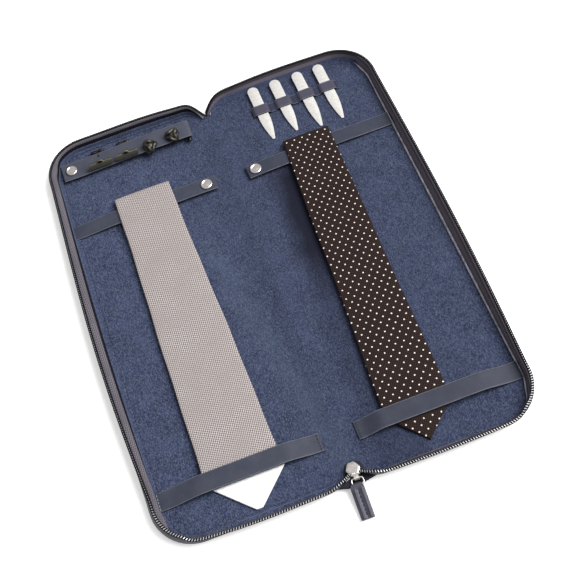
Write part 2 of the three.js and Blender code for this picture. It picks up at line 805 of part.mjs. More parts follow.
function sliderBody() {
  const plateAt = (z) => box(slider_width, slider_length, slider_plate_thickness, 0, zip_end_y, z);
  const height = slider_top - slider_foot;
  const post = box(slider_post_width, slider_length / 2, height, 0, zip_end_y, slider_foot + height / 2);
  const lug_y = zip_end_y - slider_lug_reach;
  const lug_radius = slider_lug_radius;
  const lug = new THREE.CylinderGeometry(lug_radius, lug_radius, slider_lug_width, round_steps);
  const arm_y = zip_end_y - slider_lug_reach / 2;
  const arm = box(slider_lug_width, slider_lug_reach, slider_plate_thickness, 0, arm_y, lug_z);
  const whole = join(
    plateAt(slider_foot + slider_plate_thickness / 2), plateAt(slider_top - slider_plate_thickness / 2),
    post, arm, lug.rotateZ(Math.PI / 2).translate(0, lug_y, lug_z),
  );
  const bore = ring_wire_radius + seam_gap;
  const hole = new THREE.CylinderGeometry(bore, bore, slider_lug_width + cut_overrun, round_steps);
  return cut(whole, hole.rotateZ(Math.PI / 2).translate(0, lug_y, lug_z));
}

// Six-sided cap with rounded corners over the slider
function sliderCap() {
  const outline = new THREE.Shape();
  const corner = slider_cap_radius * slider_cap_corner_share;
  const half_turn = Math.PI / slider_cap_sides;
  for (let side = 0; side < slider_cap_sides; side++) {
    const angle = (2 * side + 1) * half_turn;
    const x = (slider_cap_radius - corner) * Math.cos(angle);
    const y = (slider_cap_radius - corner) * Math.sin(angle);
    outline.absarc(x, y, corner, angle - half_turn, angle + half_turn, false);
  }
  const depth = slider_cap_height;
  return new THREE.ExtrudeGeometry(outline, { depth, bevelEnabled: false, curveSegments: fold_steps / 2 });
}

// Wire ring of the puller, from the lug's bar out to the leather's bar
function pullerRing() {
  const half = ring_half_width;
  const corners = [
    [-half / 2, 0], [half / 2, 0], [half, -ring_reach / 3], [half, -ring_reach * 2 / 3],
    [half / 2, -ring_reach], [-half / 2, -ring_reach],
    [-half, -ring_reach * 2 / 3], [-half, -ring_reach / 3],
  ].map(([x, y]) => new THREE.Vector3(x, y, 0));
  const path = new THREE.CatmullRomCurve3(corners, true, 'catmullrom', ring_tension_share);
  const steps = round_steps * 2;
  const rings = Array.from({ length: steps }, (_, step) => {
    const at = path.getPointAt(step / steps);
    const ahead = path.getTangentAt(step / steps);
    const side = new THREE.Vector3(-ahead.y, ahead.x, 0);
    return Array.from({ length: wire_steps }, (_, corner) => {
      const angle = corner * 2 * Math.PI / wire_steps;
      const out = side.clone().multiplyScalar(ring_wire_radius * Math.cos(angle));
      return at.clone().add(out).add(new THREE.Vector3(0, 0, ring_wire_radius * Math.sin(angle)));
    });
  });
  return closedTube(rings);
}

// Endless tube through a ring of rings
function closedTube(rings) {
  const count = rings[0].length;
  const total = rings.length * count;
  const index = [];
  for (let ring = 0; ring < rings.length; ring++) {
    for (let corner = 0; corner < count; corner++) {
      const a = ring * count + corner;
      const b = ring * count + ((corner + 1) % count);
      index.push(a, b, (b + count) % total, a, (b + count) % total, (a + count) % total);
    }
  }
  const geometry = new THREE.BufferGeometry();
  const positions = rings.flat().flatMap((point) => [point.x, point.y, point.z]);
  geometry.setAttribute('position', new THREE.Float32BufferAttribute(positions, 3));
  geometry.setIndex(index);
  return facingOut(geometry);
}

// Leather puller: a narrow neck folded round the ring's far bar, then the wide doubled tab
function pullerTab() {
  const neck_width = puller_neck_width / 2;
  const eye = new THREE.CylinderGeometry(puller_eye_radius, puller_eye_radius, neck_width, round_steps);
  const shoulder = puller_eye_radius + ring_wire_radius + seam_gap;
  const neck = box(neck_width, shoulder, puller_thickness, 0, -shoulder / 2);
  const outline = new THREE.Shape();
  const half = puller_width / 2;
  outline.moveTo(-puller_neck_width / 2, -shoulder + seam_gap);
  outline.lineTo(-half, -shoulder - half / 2);
  outline.lineTo(-half, -puller_length);
  outline.lineTo(half, -puller_length);
  outline.lineTo(half, -shoulder - half / 2);
  outline.lineTo(puller_neck_width / 2, -shoulder + seam_gap);
  const leaf = plate(outline.getPoints(), -puller_thickness / 2, puller_thickness);
  const bore = ring_wire_radius + seam_gap;
  const hole = new THREE.CylinderGeometry(bore, bore, puller_width, round_steps);
  const whole = join(eye.rotateZ(Math.PI / 2), neck, leaf);
  return cut(whole, hole.rotateZ(Math.PI / 2)).translate(0, -ring_reach, 0);
}

const travelCase = new THREE.Group();

function add(name, geometry, material, parent = travelCase) {
  const piece = new THREE.Mesh(geometry, material);
  piece.name = name;
  parent.add(piece);
  return piece;
}

// Shells, linings and zip of both trays
for (const [word, side] of [['right', 1], ['left', -1]]) {
  add(`${word}_outer_panel`, trayPlate(side, 0, 0, outer_panel_thickness), leather);
  add(`${word}_wall`, wall(side), leather);
  add(`${word}_lining`, trayPlate(side, wall_thickness + seam_gap, foot_level, lining_thickness), suede);
  add(`${word}_zip_tape`, tape(side), tape_cloth);
  add(`${word}_zip_chain`, chain(side), zip_metal);
}

// Spine with the soft ends of the rims; the zip end leaves room between those at the foot
const soft_foot_x = zip_end_half_width + zip_end_side_room;
add('spine_cover', spinePlate(0, 0, outer_panel_thickness), leather);
add('spine_lining', spinePlate(wall_thickness + seam_gap, foot_level, lining_thickness), suede);
for (const [word, side] of [['right', 1], ['left', -1]]) {
  add(`${word}_head_gusset`, softWallEnd(side, 1, soft_edge_x, seam_gap / 2, head_notch_bow), leather);
  const outer_x = foot_wall_start_x - seam_gap;
  add(`${word}_foot_gusset`, softWallEnd(side, -1, outer_x, soft_foot_x, foot_notch_bow), leather);
}

// Straps stitched at both ends
add('left_foot_strap', footStrap(
  left_foot_strap_x, left_foot_strap_end_x, left_foot_strap_y,
  tieEdgeX(grey_tie, left_foot_strap_y, -1), tieEdgeX(grey_tie, left_foot_strap_y, 1),
), leather);
add('right_foot_strap', footStrap(
  right_foot_strap_x, right_foot_strap_end_x, right_foot_strap_y,
  tieEdgeX(dot_tie, right_foot_strap_y, 1), tieEdgeX(dot_tie, right_foot_strap_y, -1),
), leather);

// Snap fastener at a strap's end: stud on the tray, socket and cap on the strap
function snap(word, x, y) {
  add(`${word}_snap_stud`, snapStud(), steel).position.set(x, y, rest_level);
  add(`${word}_snap_socket`, snapSocket(), steel).position.set(x, y, snap_socket_level);
  add(`${word}_snap_cap`, snapCap(), steel).position.set(x, y, snap_strap_level);
}

const left_snap_x = left_tie_strap_end_x - snap_end;
const left_snap_y = left_tie_strap_y + tie_strap_width / 2;
const left_tie_strap = tieStrap(
  left_tie_strap_x, left_tie_strap_end_x, left_tie_strap_y,
  tieEdgeX(grey_tie, left_tie_strap_y, -1), tieEdgeX(grey_tie, left_tie_strap_y, 1), snap_end, 0,
);
add('left_tie_strap', cut(left_tie_strap, shankHole(left_snap_x, left_snap_y, snap_strap_level)), leather);
snap('left_tie', left_snap_x, left_snap_y);

const right_snap_x = right_tie_strap_end_x + right_snap_end;
const right_snap_drop = (right_tie_strap_x - right_snap_x) * right_skew;
const right_snap_y = right_tie_strap_y + tie_strap_width / 2 - right_snap_drop;
const right_tie_strap = tieStrap(
  right_tie_strap_x, right_tie_strap_end_x, right_tie_strap_y,
  tieEdgeX(dot_tie, right_tie_strap_y, 1), tieEdgeX(dot_tie, right_tie_strap_y, -1), right_snap_end,
  right_tie_strap_skew_degrees,
);
const right_hole = shankHole(right_snap_x, right_snap_y, snap_strap_level);
add('right_tie_strap', cut(right_tie_strap, right_hole), leather);
snap('right_tie', right_snap_x, right_snap_y);

const cufflink_snap_x = cufflink_strap_end_x + snap_end;
const cufflink_snap_y = cufflink_strap_y + cufflink_strap_width / 2;
const cufflink_hole = shankHole(cufflink_snap_x, cufflink_snap_y, snap_strap_level);
add('cufflink_strap', cut(cufflinkStrap(), cufflink_hole), leather);
snap('cufflink', cufflink_snap_x, cufflink_snap_y);

// Cufflinks in the strap's slits
for (const place of cufflinkPlaces()) {
  add(place.name, place.kind === 'bar' ? barHead(place) : knotHead(place), dark_metal);
  const turning = add(`${place.name}_toggle`, toggle(), dark_metal);
  turning.position.set(0, place.toggle, 0).applyMatrix4(placing(place));
  turning.rotation.z = place.heading * degree;
}

// Collar stays and their loops
add('stay_loop_strip', loopStrip(), leather);
stay_lengths.forEach((length, place) => {
  const x = stay_first_x + place * stay_pitch;
  add(`collar_stay_${place + 1}`, stay(length), steel).position.set(x, stay_head_y, rest_level);
});

// Ties
add('grey_tie', foldedTie(grey_tie), grey_silk);
add('grey_tie_white_point', whitePoint(), white_satin);
add('pin_dot_tie', foldedTie(dot_tie), brown_silk);

// Zip end, slider and puller
const zip_end_middle_y = zip_end_y - slider_length / 2 - zip_end_tail + zip_end_length / 2;
add('zip_end_tab', box(
  2 * zip_end_half_width, zip_end_length, zip_end_thickness,
  0, zip_end_middle_y, rest_level + zip_end_thickness / 2,
), tape_cloth);
add('slider_body', sliderBody(), zip_metal);
add('slider_cap', sliderCap(), steel).position.set(0, zip_end_y, slider_top + seam_gap);

const puller = new THREE.Group();
puller.position.set(0, zip_end_y - slider_lug_reach, lug_z);
puller.rotation.x = puller_drop_degrees * degree;
travelCase.add(puller);
add('puller_ring', pullerRing(), steel, puller);
add('puller_tab', pullerTab(), leather, puller);

export default travelCase;
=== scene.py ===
"""Looks of a zip-around travel case for ties and jewellery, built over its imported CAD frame.

Lengths are in millimetres in the tables and formulas, and mesh_object() turns them into metres.
Sizes inside materials are in metres. +X is the tray with the collar stays, +Y the head of the spine, +Z up.
"""
import json
import math

import bpy
import numpy as np
from mathutils import Matrix, Vector


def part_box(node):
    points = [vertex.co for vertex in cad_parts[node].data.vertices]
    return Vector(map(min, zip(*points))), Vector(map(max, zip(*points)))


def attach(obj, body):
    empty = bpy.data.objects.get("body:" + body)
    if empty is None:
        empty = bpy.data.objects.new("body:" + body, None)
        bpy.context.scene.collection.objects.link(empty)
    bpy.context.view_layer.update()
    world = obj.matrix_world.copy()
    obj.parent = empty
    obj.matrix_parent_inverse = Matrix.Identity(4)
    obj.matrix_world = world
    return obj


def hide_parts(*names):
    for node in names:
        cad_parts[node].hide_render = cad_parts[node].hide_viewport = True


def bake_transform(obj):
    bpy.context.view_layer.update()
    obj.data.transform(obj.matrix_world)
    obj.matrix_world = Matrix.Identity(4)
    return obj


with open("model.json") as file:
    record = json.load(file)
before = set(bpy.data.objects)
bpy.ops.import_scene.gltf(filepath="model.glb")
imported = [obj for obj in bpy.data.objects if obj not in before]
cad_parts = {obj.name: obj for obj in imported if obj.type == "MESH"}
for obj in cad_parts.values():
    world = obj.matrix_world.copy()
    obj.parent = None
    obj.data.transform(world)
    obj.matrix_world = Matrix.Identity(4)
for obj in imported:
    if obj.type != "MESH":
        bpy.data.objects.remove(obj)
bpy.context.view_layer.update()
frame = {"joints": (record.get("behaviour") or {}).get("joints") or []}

METRES = 0.001
DEGREE = math.pi / 180


def box_mm(node):
    low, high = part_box(node)
    return np.array(low) / METRES, np.array(high) / METRES


def middle_of(node):
    low, high = box_mm(node)
    return (low + high) / 2


def joint_place(name):
    return [np.array(joint["pos_m"]) / METRES for joint in frame["joints"] if joint["name"] == name][0]


def turn_by(about_z, about_x=0.0):
    """Turn by so many degrees about X, then about Z."""
    about = Matrix.Rotation(about_z * DEGREE, 3, "Z") @ Matrix.Rotation(about_x * DEGREE, 3, "X")
    return np.array(about)


def smooth(share):
    """3 s^2 - 2 s^3 for s held between 0 and 1."""
    share = np.clip(share, 0, 1)
    return share * share * (3 - 2 * share)


def mix(low, high, share):
    return low + (high - low) * share


# ---------------------------------------------------------------- sizes

# From the frame: half sizes of the open case, underside and top of the lining's floor, level at which straps
# and ties rest, top of the rim, and the line about which a tray folds
HALF_WIDTH, HALF_LENGTH = box_mm("right_outer_panel")[1][:2]
FOOT_LEVEL, FLOOR = (corner[2] for corner in box_mm("right_lining"))
REST = box_mm("left_foot_strap")[0][2]
RIM = box_mm("right_zip_chain")[1][2]
FOLD_X = box_mm("spine_lining")[1][0] + 0.15
SNAP_LEVEL = box_mm("left_tie_snap_socket")[1][2] + 0.3

# The rim falls to NOTCH_RIM within NOTCH_RISE of the spine; its outline is rounded at corners and notches
NOTCH_RIM = 5.5
NOTCH_RISE = 17
CORNER = 36
NOTCH_RADIUS = 26
NOTCH_REACH = 24
HEAD_NOTCH_X = -2.8
WORDS = {1: "right", -1: "left"}

# Ties: X of the middle and width, at the fold and at the foot
TIES = {
    "left": {"fold_x": -82.5, "foot_x": -79.3, "fold_width": 51, "foot_width": 65},
    "right": {"fold_x": 75, "foot_x": 64.7, "fold_width": 44, "foot_width": 55},
}
TIE_THICK = 2.0
TIE_ROOM = 2.2
GAP = 0.3
OVER_TIE = REST + TIE_ROOM + GAP
FOOT_STRAP_OVER = OVER_TIE + TIE_ROOM + GAP
STRAP_THICK = 1.3
RIGHT_STRAP_SKEW = math.tan(2.4 * DEGREE)


# ---------------------------------------------------------------- node groups and materials

def node_group(name, inputs, floats, normal=True):
    """Empty node group with float inputs, float outputs, and a normal for an output."""
    group = bpy.data.node_groups.new(name, "ShaderNodeTree")
    for socket, value in inputs.items():
        made = group.interface.new_socket(name=socket, in_out="INPUT", socket_type="NodeSocketFloat")
        made.default_value = value
    for socket in floats:
        group.interface.new_socket(name=socket, in_out="OUTPUT", socket_type="NodeSocketFloat")
    if normal:
        group.interface.new_socket(name="Normal", in_out="OUTPUT", socket_type="NodeSocketVector")
    return Nodes(group), group.nodes.new("NodeGroupInput").outputs, group.nodes.new("NodeGroupOutput")


class Nodes:
    """Short ways to add linked nodes to a tree."""

    def __init__(self, tree):
        self.tree = tree

    def put(self, node, socket, value):
        if isinstance(value, bpy.types.NodeSocket):
            self.tree.links.new(value, node.inputs[socket])
        elif value is not None:
            node.inputs[socket].default_value = value

    def put_all(self, node, **sockets):
        for name, value in sockets.items():
            self.put(node, name.replace("_", " "), value)

    def add(self, kind, settings=None, **sockets):
        node = self.tree.nodes.new("ShaderNode" + kind)
        for name, value in (settings or {}).items():
            setattr(node, name, value)
        self.put_all(node, **sockets)
        return node

    def math(self, operation, first, second=0.0, third=None):
        node = self.add("Math", {"operation": operation})
        for place, value in enumerate((first, second, third)):
            self.put(node, place, value)
        return node.outputs[0]

    def product(self, first, *others):
        for other in others:
            first = self.math("MULTIPLY", first, other)
        return first

    def weighted(self, first, first_weight, second, second_weight):
        return self.math("ADD", self.product(first, first_weight), self.product(second, second_weight))

    def vector(self, operation, first, second=None):
        node = self.add("VectorMath", {"operation": operation})
        for place, value in enumerate((first, second)):
            self.put(node, place, value)
        return node.outputs["Value" if operation in ("DOT_PRODUCT", "LENGTH") else "Vector"]

    def object_place(self):
        return self.add("TexCoord").outputs["Object"]

    def uv_place(self):
        return self.add("TexCoord").outputs["UV"]

    def parts(self, place):
        return self.add("SeparateXYZ", Vector=place).outputs

    def noise(self, place, scale, detail=3.0, roughness=0.55, distortion=0.0):
        return self.add(
            "TexNoise", Vector=place, Scale=scale, Detail=detail, Roughness=roughness, Distortion=distortion,
        ).outputs["Fac"]

    def span(self, value, low, high, to_low=0.0, to_high=1.0):
        node = self.add("MapRange")
        for place, number in enumerate((value, low, high, to_low, to_high)):
            self.put(node, place, number)
        return node.outputs[0]

    def blend_colour(self, share, low, high):
        node = self.add("Mix", {"data_type": "RGBA"})
        self.put(node, 0, share)
        for place, colour in ((6, low), (7, high)):
            self.put(node, place, colour if isinstance(colour, bpy.types.NodeSocket) else (*colour, 1))
        return node.outputs[2]

    def put_out(self, out, depth, height, strength, **values):
        """Outputs of a group: the values by name, and the normal of a height of the given depth."""
        normal = self.add("Bump", Height=height, Distance=depth, Strength=strength).outputs["Normal"]
        self.put_all(out, **values, Normal=normal)


def nap_group():
    """Suede nap: cloudy shade, short light fibres, and the normal of the brushed pile."""
    n, given, out = node_group("Suede nap", {"Depth": 0.0003}, ("Shade", "Fibre"))
    place = n.object_place()
    patch = n.noise(place, 260.0, 3.0, 0.65)
    shade = n.weighted(n.noise(place, 55.0, 3.0, 0.6), 0.55, patch, 0.45)
    drawn = n.add("Mapping", Vector=place, Rotation=(0, 0, 0.6), Scale=(1.0, 0.45, 1.0))
    fibre = n.noise(drawn.outputs[0], 1500.0, 2.0, 0.7, 0.4)
    n.put_out(
        out, given["Depth"], n.weighted(fibre, 0.6, patch, 0.6), 0.55,
        Shade=n.span(shade, 0.36, 0.64), Fibre=n.span(fibre, 0.44, 0.68),
    )
    return n.tree


def grain_group():
    """Fine leather grain: pebbles from cell borders, a cloudy shade, and the normal of both."""
    n, given, out = node_group("Leather grain", {"Scale": 900.0, "Depth": 0.00012}, ("Shade",))
    place = n.object_place()
    warp = n.add("TexNoise", Vector=place, Scale=300.0, Detail=2.0)
    bent = n.add("VectorMath", {"operation": "MULTIPLY_ADD"})
    for socket, value in enumerate((warp.outputs["Color"], (0.0012, 0.0012, 0.0012), place)):
        n.put(bent, socket, value)
    cells = n.add("TexVoronoi", {"feature": "DISTANCE_TO_EDGE"}, Vector=bent.outputs[0], Scale=given["Scale"])
    pebble = n.span(cells.outputs["Distance"], 0.0, 0.14)
    shade = n.weighted(n.noise(place, 70.0, 4.0), 0.8, pebble, 0.2)
    height = n.weighted(pebble, 0.6, n.noise(place, 1900.0, 2.0), 0.4)
    n.put_out(out, given["Depth"], height, 0.5, Shade=n.span(shade, 0.35, 0.75))
    return n.tree


def twill_group():
    """Woven twill from UV in metres: threads slant across the cloth, each crossed by short floats."""
    n, given, out = node_group("Twill weave", {"Pitch": 1.1, "Depth": 0.0001}, ("Shade", "Cloud"))
    u, v, _ = n.parts(n.uv_place())
    turns = n.math("DIVIDE", 2 * math.pi / METRES, given["Pitch"])
    slant = n.product(n.math("ADD", u, n.product(v, 0.62)), turns)
    cross = n.product(n.math("SUBTRACT", u, n.product(v, 1.7)), n.product(turns, 0.55))
    threads = n.weighted(n.math("SINE", slant), 0.5, n.math("SINE", cross), 0.35)
    speck = n.product(n.math("SUBTRACT", n.noise(n.uv_place(), 900.0, 3.0, 0.7), 0.5), 1.3)
    height = n.math("ADD", threads, speck)
    cloud = n.span(n.noise(n.uv_place(), 45.0, 4.0), 0.35, 0.65)
    n.put_out(out, given["Depth"], height, 0.5, Shade=n.span(height, -0.8, 0.8), Cloud=cloud)
    return n.tree


def dot_group():
    """Pin dots from UV in metres: a round dot at the corners and the middle of every Width by Height cell."""
    n, given, out = node_group("Pin dots", {"Width": 7.0, "Height": 8.8, "Radius": 0.8}, ("Dot",), False)
    ragged = n.product(n.math("SUBTRACT", n.noise(n.uv_place(), 1400.0, 2.0), 0.5), 0.7)
    cell_size = n.add("CombineXYZ", X=given["Width"], Y=given["Height"]).outputs[0]
    masks = []
    for offset in (0.0, 0.5):
        turned_place = n.add("VectorRotate", {"rotation_type": "Z_AXIS"}, Vector=n.uv_place(), Angle=0.03)
        cells = n.vector("DIVIDE", n.vector("MULTIPLY", turned_place.outputs[0], (1000, 1000, 0)), cell_size)
        share = n.vector("FRACTION", n.vector("ADD", cells, (offset + 0.2, offset, 0)))
        away = n.vector("MULTIPLY", n.vector("SUBTRACT", share, (0.5, 0.5, 0)), cell_size)
        reach = n.math("ADD", n.math("SQRT", n.vector("DOT_PRODUCT", away, away)), ragged)
        masks.append(n.span(n.math("SUBTRACT", reach, given["Radius"]), -0.12, 0.12, 1.0, 0.0))
    n.put(out, "Dot", n.math("MAXIMUM", *masks))
    return n.tree


NAP, GRAIN, TWILL, DOTS = nap_group(), grain_group(), twill_group(), dot_group()


def new_material(name, roughness, metallic=0.0, specular=0.5):
    material = bpy.data.materials.new(name)
    material.use_nodes = True
    n, shader = Nodes(material.node_tree), material.node_tree.nodes["Principled BSDF"]
    n.put_all(shader, Roughness=roughness, Metallic=metallic, Specular_IOR_Level=specular)
    return material, n, shader


def use_group(n, group, **values):
    return n.add("Group", {"node_tree": group}, **values).outputs


def suede_material(name, dark, light, fibre):
    """Suede with a paler brushed streak beside the spine, and a painted shadow along the left of the dotted tie.
    """
    material, n, shader = new_material(name, 0.95, specular=0.12)
    nap = use_group(n, NAP)
    colour = n.blend_colour(nap["Shade"], dark, light)
    colour = n.blend_colour(n.product(nap["Fibre"], 0.62), colour, fibre)
    x, y, _ = n.parts(n.object_place())
    wander = n.product(n.math("SUBTRACT", n.noise(n.object_place(), 30.0, 2.0), 0.5), 0.014)
    streak_x = n.math("ADD", n.math("MULTIPLY_ADD", y, -0.165, -0.0345), wander)
    streak = n.product(
        n.span(n.math("ABSOLUTE", n.math("SUBTRACT", x, streak_x)), 0.002, 0.016, 1.0, 0.0),
        n.span(y, 0.02, 0.09, 0.20, 0.0),
    )
    colour = n.blend_colour(streak, colour, (0.075, 0.105, 0.150))
    colour = n.blend_colour(n.span(x, -0.07, -0.01, 0.0, 0.20), colour, (0.004, 0.005, 0.012))
    # Painted shadow: the suede is darkened in a band along the left of the dotted tie, full within 8 mm of edge_x
    # and gone 26 mm from it
    edge_x = n.math("ADD", n.math("MULTIPLY_ADD", y, 0.05, 0.0440), wander)
    painted_tie_shadow = n.product(
        n.span(n.math("SUBTRACT", edge_x, x), 0.008, 0.026, 1.0, 0.0), n.span(y, 0.09, 0.125, 1.0, 0.0),
        n.span(y, -0.05, 0.01, 0.35, 1.0), n.span(x, 0.058, 0.066, 0.95, 0.0),
    )
    colour = n.blend_colour(painted_tie_shadow, colour, (0.0045, 0.0045, 0.011))
    n.put_all(shader, Base_Color=colour, Normal=nap["Normal"])
    n.put_all(shader, Sheen_Weight=0.25, Sheen_Roughness=0.5, Sheen_Tint=(0.55, 0.62, 0.9, 1))
    return material


def leather_material(name, dark, light, roughness=0.5, edge=None, raised=None):
    """Leather; edge is the colour of a painted highlight along a strap's border, where UV holds the distance from
    its edge.

    raised gives a height in millimetres and the lighter colour painted above it, as painted light on the parts
    that stand up.
    """
    material, n, shader = new_material(name, roughness, specular=0.3)
    grain = use_group(n, GRAIN)
    colour = n.blend_colour(grain["Shade"], dark, light)
    if raised:
        # Painted light: parts above the given height take the lighter colour
        above = n.span(n.parts(n.object_place())[2], raised[0] * METRES, (raised[0] + 0.5) * METRES)
        colour = n.blend_colour(above, colour, raised[1:])
    if edge:
        # Painted highlight: a pale, uneven line just inside a strap's border, where its rounded edge catches light
        inward = n.parts(n.uv_place())[1]
        edge_highlight = n.product(
            n.span(inward, 0.0006, 0.0010, 0.75, 0.0), n.span(inward, 0.00015, 0.0004),
            n.span(n.noise(n.object_place(), 220.0), 0.3, 0.6, 0.35, 1.0),
        )
        colour = n.blend_colour(edge_highlight, colour, edge)
        colour = n.blend_colour(n.span(inward, 0.0001, 0.0003, 0.9, 0.0), colour, (0.006, 0.007, 0.010))
    n.put_all(shader, Base_Color=colour, Normal=grain["Normal"])
    return material


def woven_material(name, dark, light, cloud, pitch, roughness, depth=0.0001, dots=None, painted_highlight=None):
    """Woven cloth; the last argument gives a colour and the span of UV across a tape where a painted highlight
    lies as a pale streak.
    """
    material, n, shader = new_material(name, roughness, specular=0.12)
    weave = use_group(n, TWILL, Pitch=pitch, Depth=depth)
    colour = n.blend_colour(weave["Shade"], dark, light)
    colour = n.blend_colour(n.product(weave["Cloud"], 0.5), colour, cloud)
    if dots:
        mask = use_group(n, DOTS, Width=dots["width"], Height=dots["height"], Radius=dots["radius"])
        colour = n.blend_colour(mask["Dot"], colour, dots["colour"])
    # Painted highlight: a pale streak across part of the tape, where its ridge catches light
    if painted_highlight:
        pale, low, high = painted_highlight
        across = n.parts(n.uv_place())[1]
        on = n.product(
            n.span(across, low - 0.0006, low), n.span(across, high, high + 0.0006, 1.0, 0.0),
            n.span(n.noise(n.object_place(), 160.0, 4.0), 0.35, 0.6, 0.35, 1.0),
        )
        colour = n.blend_colour(on, colour, pale)
    n.put_all(shader, Base_Color=colour, Normal=weave["Normal"])
    return material


def metal_material(name, colour, roughness, scuff=0.1, scale=900.0):
    """Metal whose roughness wanders by scuff about its middle."""
    material, n, shader = new_material(name, roughness, metallic=1.0)
    cloud = n.noise(n.object_place(), scale)
    uneven = n.span(cloud, 0.3, 0.7, roughness - scuff, roughness + scuff)
    n.put_all(shader, Base_Color=(*colour, 1), Roughness=uneven)
    return material


def plain_material(name, colour, roughness, specular=0.4):
    """Even colour with clouds a fifth darker."""
    material, n, shader = new_material(name, roughness, specular=specular)
    cloud = n.span(n.noise(n.object_place(), 500.0), 0.3, 0.7)
    darker = tuple(0.8 * part for part in colour)
    n.put(shader, "Base Color", n.blend_colour(cloud, darker, colour))
    return material


# Colour of the painted highlight along the straps' borders
EDGE_HIGHLIGHT = (0.12, 0.13, 0.15)
SUEDE = suede_material("Navy suede", (0.0095, 0.013, 0.036), (0.027, 0.035, 0.078), (0.125, 0.155, 0.225))
STRAPS = {
    "left": leather_material("Strap leather", (0.024, 0.028, 0.047), (0.042, 0.046, 0.068), 0.6, EDGE_HIGHLIGHT),
    # The right tray's straps are the strap leather painted darker: painted shade
    "right": leather_material("Right strap leather painted darker as shade", (0.017, 0.020, 0.037), (0.031, 0.035, 0.056), 0.6, EDGE_HIGHLIGHT),
}
# The cufflink strap is the strap leather painted lighter, for the shade of its slope: painted light
CUFF_LEATHER = leather_material(
    "Cufflink strap leather painted lighter as light", (0.034, 0.039, 0.060), (0.056, 0.061, 0.083), 0.6, EDGE_HIGHLIGHT,
)
# The loop strip is painted darker where it lies flat between the stays and lighter where it rises over them:
# painted shade and light on one leather
LOOP = leather_material(
    "Loop leather with painted light on the loops", (0.014, 0.017, 0.040), (0.024, 0.028, 0.056), 0.6, (0.13, 0.14, 0.16),
    raised=(REST + 1.25, 0.046, 0.044, 0.068),
)
SLIT_SHADE = plain_material("Slit painted shade", (0.004, 0.004, 0.005), 0.6, 0.2)
OUTER = leather_material("Outer leather", (0.018, 0.021, 0.040), (0.034, 0.038, 0.062))
PULLER = leather_material("Puller leather", (0.021, 0.022, 0.034), (0.046, 0.049, 0.070), 0.42)
# One zip tape in two copies: the right one painted dark as the shade of its wall, the left one painted pale as lit
TAPES = {
    1: woven_material(
        "Right zip tape painted dark as shade", (0.014, 0.012, 0.017), (0.085, 0.076, 0.088), (0.045, 0.040, 0.048), 1.6, 0.9,
    ),
    -1: woven_material(
        "Left zip tape painted pale as light", (0.016, 0.014, 0.020), (0.190, 0.175, 0.205), (0.070, 0.065, 0.080), 1.8, 0.9,
    ),
}
# The right border's colours are raised as painted light, and its pale streak is a painted highlight along the
# ridge; the left border is the suede
BORDERS = {
    1: woven_material(
        "Right border tape painted light", (0.036, 0.031, 0.044), (0.210, 0.185, 0.230), (0.105, 0.092, 0.118), 1.6, 0.9,
        painted_highlight=((0.46, 0.45, 0.53), 0.0186, 0.0230),
    ),
    -1: SUEDE,
}
DARK_TAPE = woven_material(
    "Dark zip tape", (0.010, 0.010, 0.016), (0.030, 0.030, 0.042), (0.02, 0.02, 0.03), 0.9, 0.9,
)
TOOTH = metal_material("Zip teeth", (0.62, 0.62, 0.63), 0.5, scale=400.0)
ZIP_BED_AND_CREVICE_SHADE = plain_material("Zip bed and painted crevice shade", (0.006, 0.006, 0.009), 0.8, 0.1)
STITCH = plain_material("Dark thread", (0.012, 0.014, 0.026), 0.7)
PALE_STITCH = plain_material("Pale thread", (0.30, 0.31, 0.35), 0.7)
NICKEL = metal_material("Nickel", (0.80, 0.75, 0.73), 0.25)
SLIDER_METAL = metal_material("Slider nickel", (0.50, 0.47, 0.46), 0.38, scale=400.0)
BLACKENED = metal_material("Blackened metal", (0.072, 0.069, 0.060), 0.5)
BAR_METAL = metal_material("Bar metal", (0.150, 0.140, 0.112), 0.5)
DARK_TOGGLE = metal_material("Toggle metal", (0.040, 0.034, 0.034), 0.4)
STAY = plain_material("Stay metal", (0.53, 0.52, 0.51), 0.4, 0.3)
GREY_SILK = woven_material(
    "Grey silk", (0.030, 0.025, 0.025), (0.530, 0.480, 0.475), (0.25, 0.222, 0.218), 2.0, 0.7, 0.0002,
)
BROWN_SILK = woven_material(
    "Brown silk", (0.004, 0.002, 0.002), (0.030, 0.018, 0.016), (0.014, 0.007, 0.007), 2.0, 0.8, 0.0001,
    {"width": 7.4, "height": 9.1, "radius": 0.62, "colour": (0.72, 0.68, 0.62)},
)
WHITE_SATIN = plain_material("White satin", (0.90, 0.90, 0.92), 0.5)


# ---------------------------------------------------------------- mesh builders

def facing_out(points, faces):
    """Faces turned so that the closed mesh has a positive volume: the sum of a . (b x c) / 6 over triangles."""
    volume = 0.0
    for count in sorted({len(face) for face in faces}):
        block = points[np.array([face for face in faces if len(face) == count])]
        for corner in range(1, count - 1):
            crossed = np.cross(block[:, corner], block[:, corner + 1])
            volume += np.einsum("ij,ij->", block[:, 0], crossed)
    return [face[::-1] for face in faces] if volume < 0 else faces


def linked_object(name, data):
    made = bpy.data.objects.new(name, data)
    bpy.context.scene.collection.objects.link(made)
    return made


def mesh_object(name, points, faces, material, uv=None, crease=40.0):
    """Mesh object from points in millimetres; uv is one place per point, in metres."""
    points = np.asarray(points, float).reshape(-1, 3)
    faces = facing_out(points, [list(map(int, face)) for face in faces])
    mesh = bpy.data.meshes.new(name)
    mesh.from_pydata((points * METRES).tolist(), [], faces)
    mesh.polygons.foreach_set("use_smooth", np.ones(len(mesh.polygons), bool))
    mesh.set_sharp_from_angle(angle=crease * DEGREE)
    if uv is not None:
        corners = np.zeros(len(mesh.loops), np.int32)
        mesh.loops.foreach_get("vertex_index", corners)
        layer = mesh.uv_layers.new(name="UVMap")
        layer.data.foreach_set("uv", np.asarray(uv, float).reshape(-1, 2)[corners].ravel())
    mesh.materials.append(material)
    return linked_object(name, mesh)


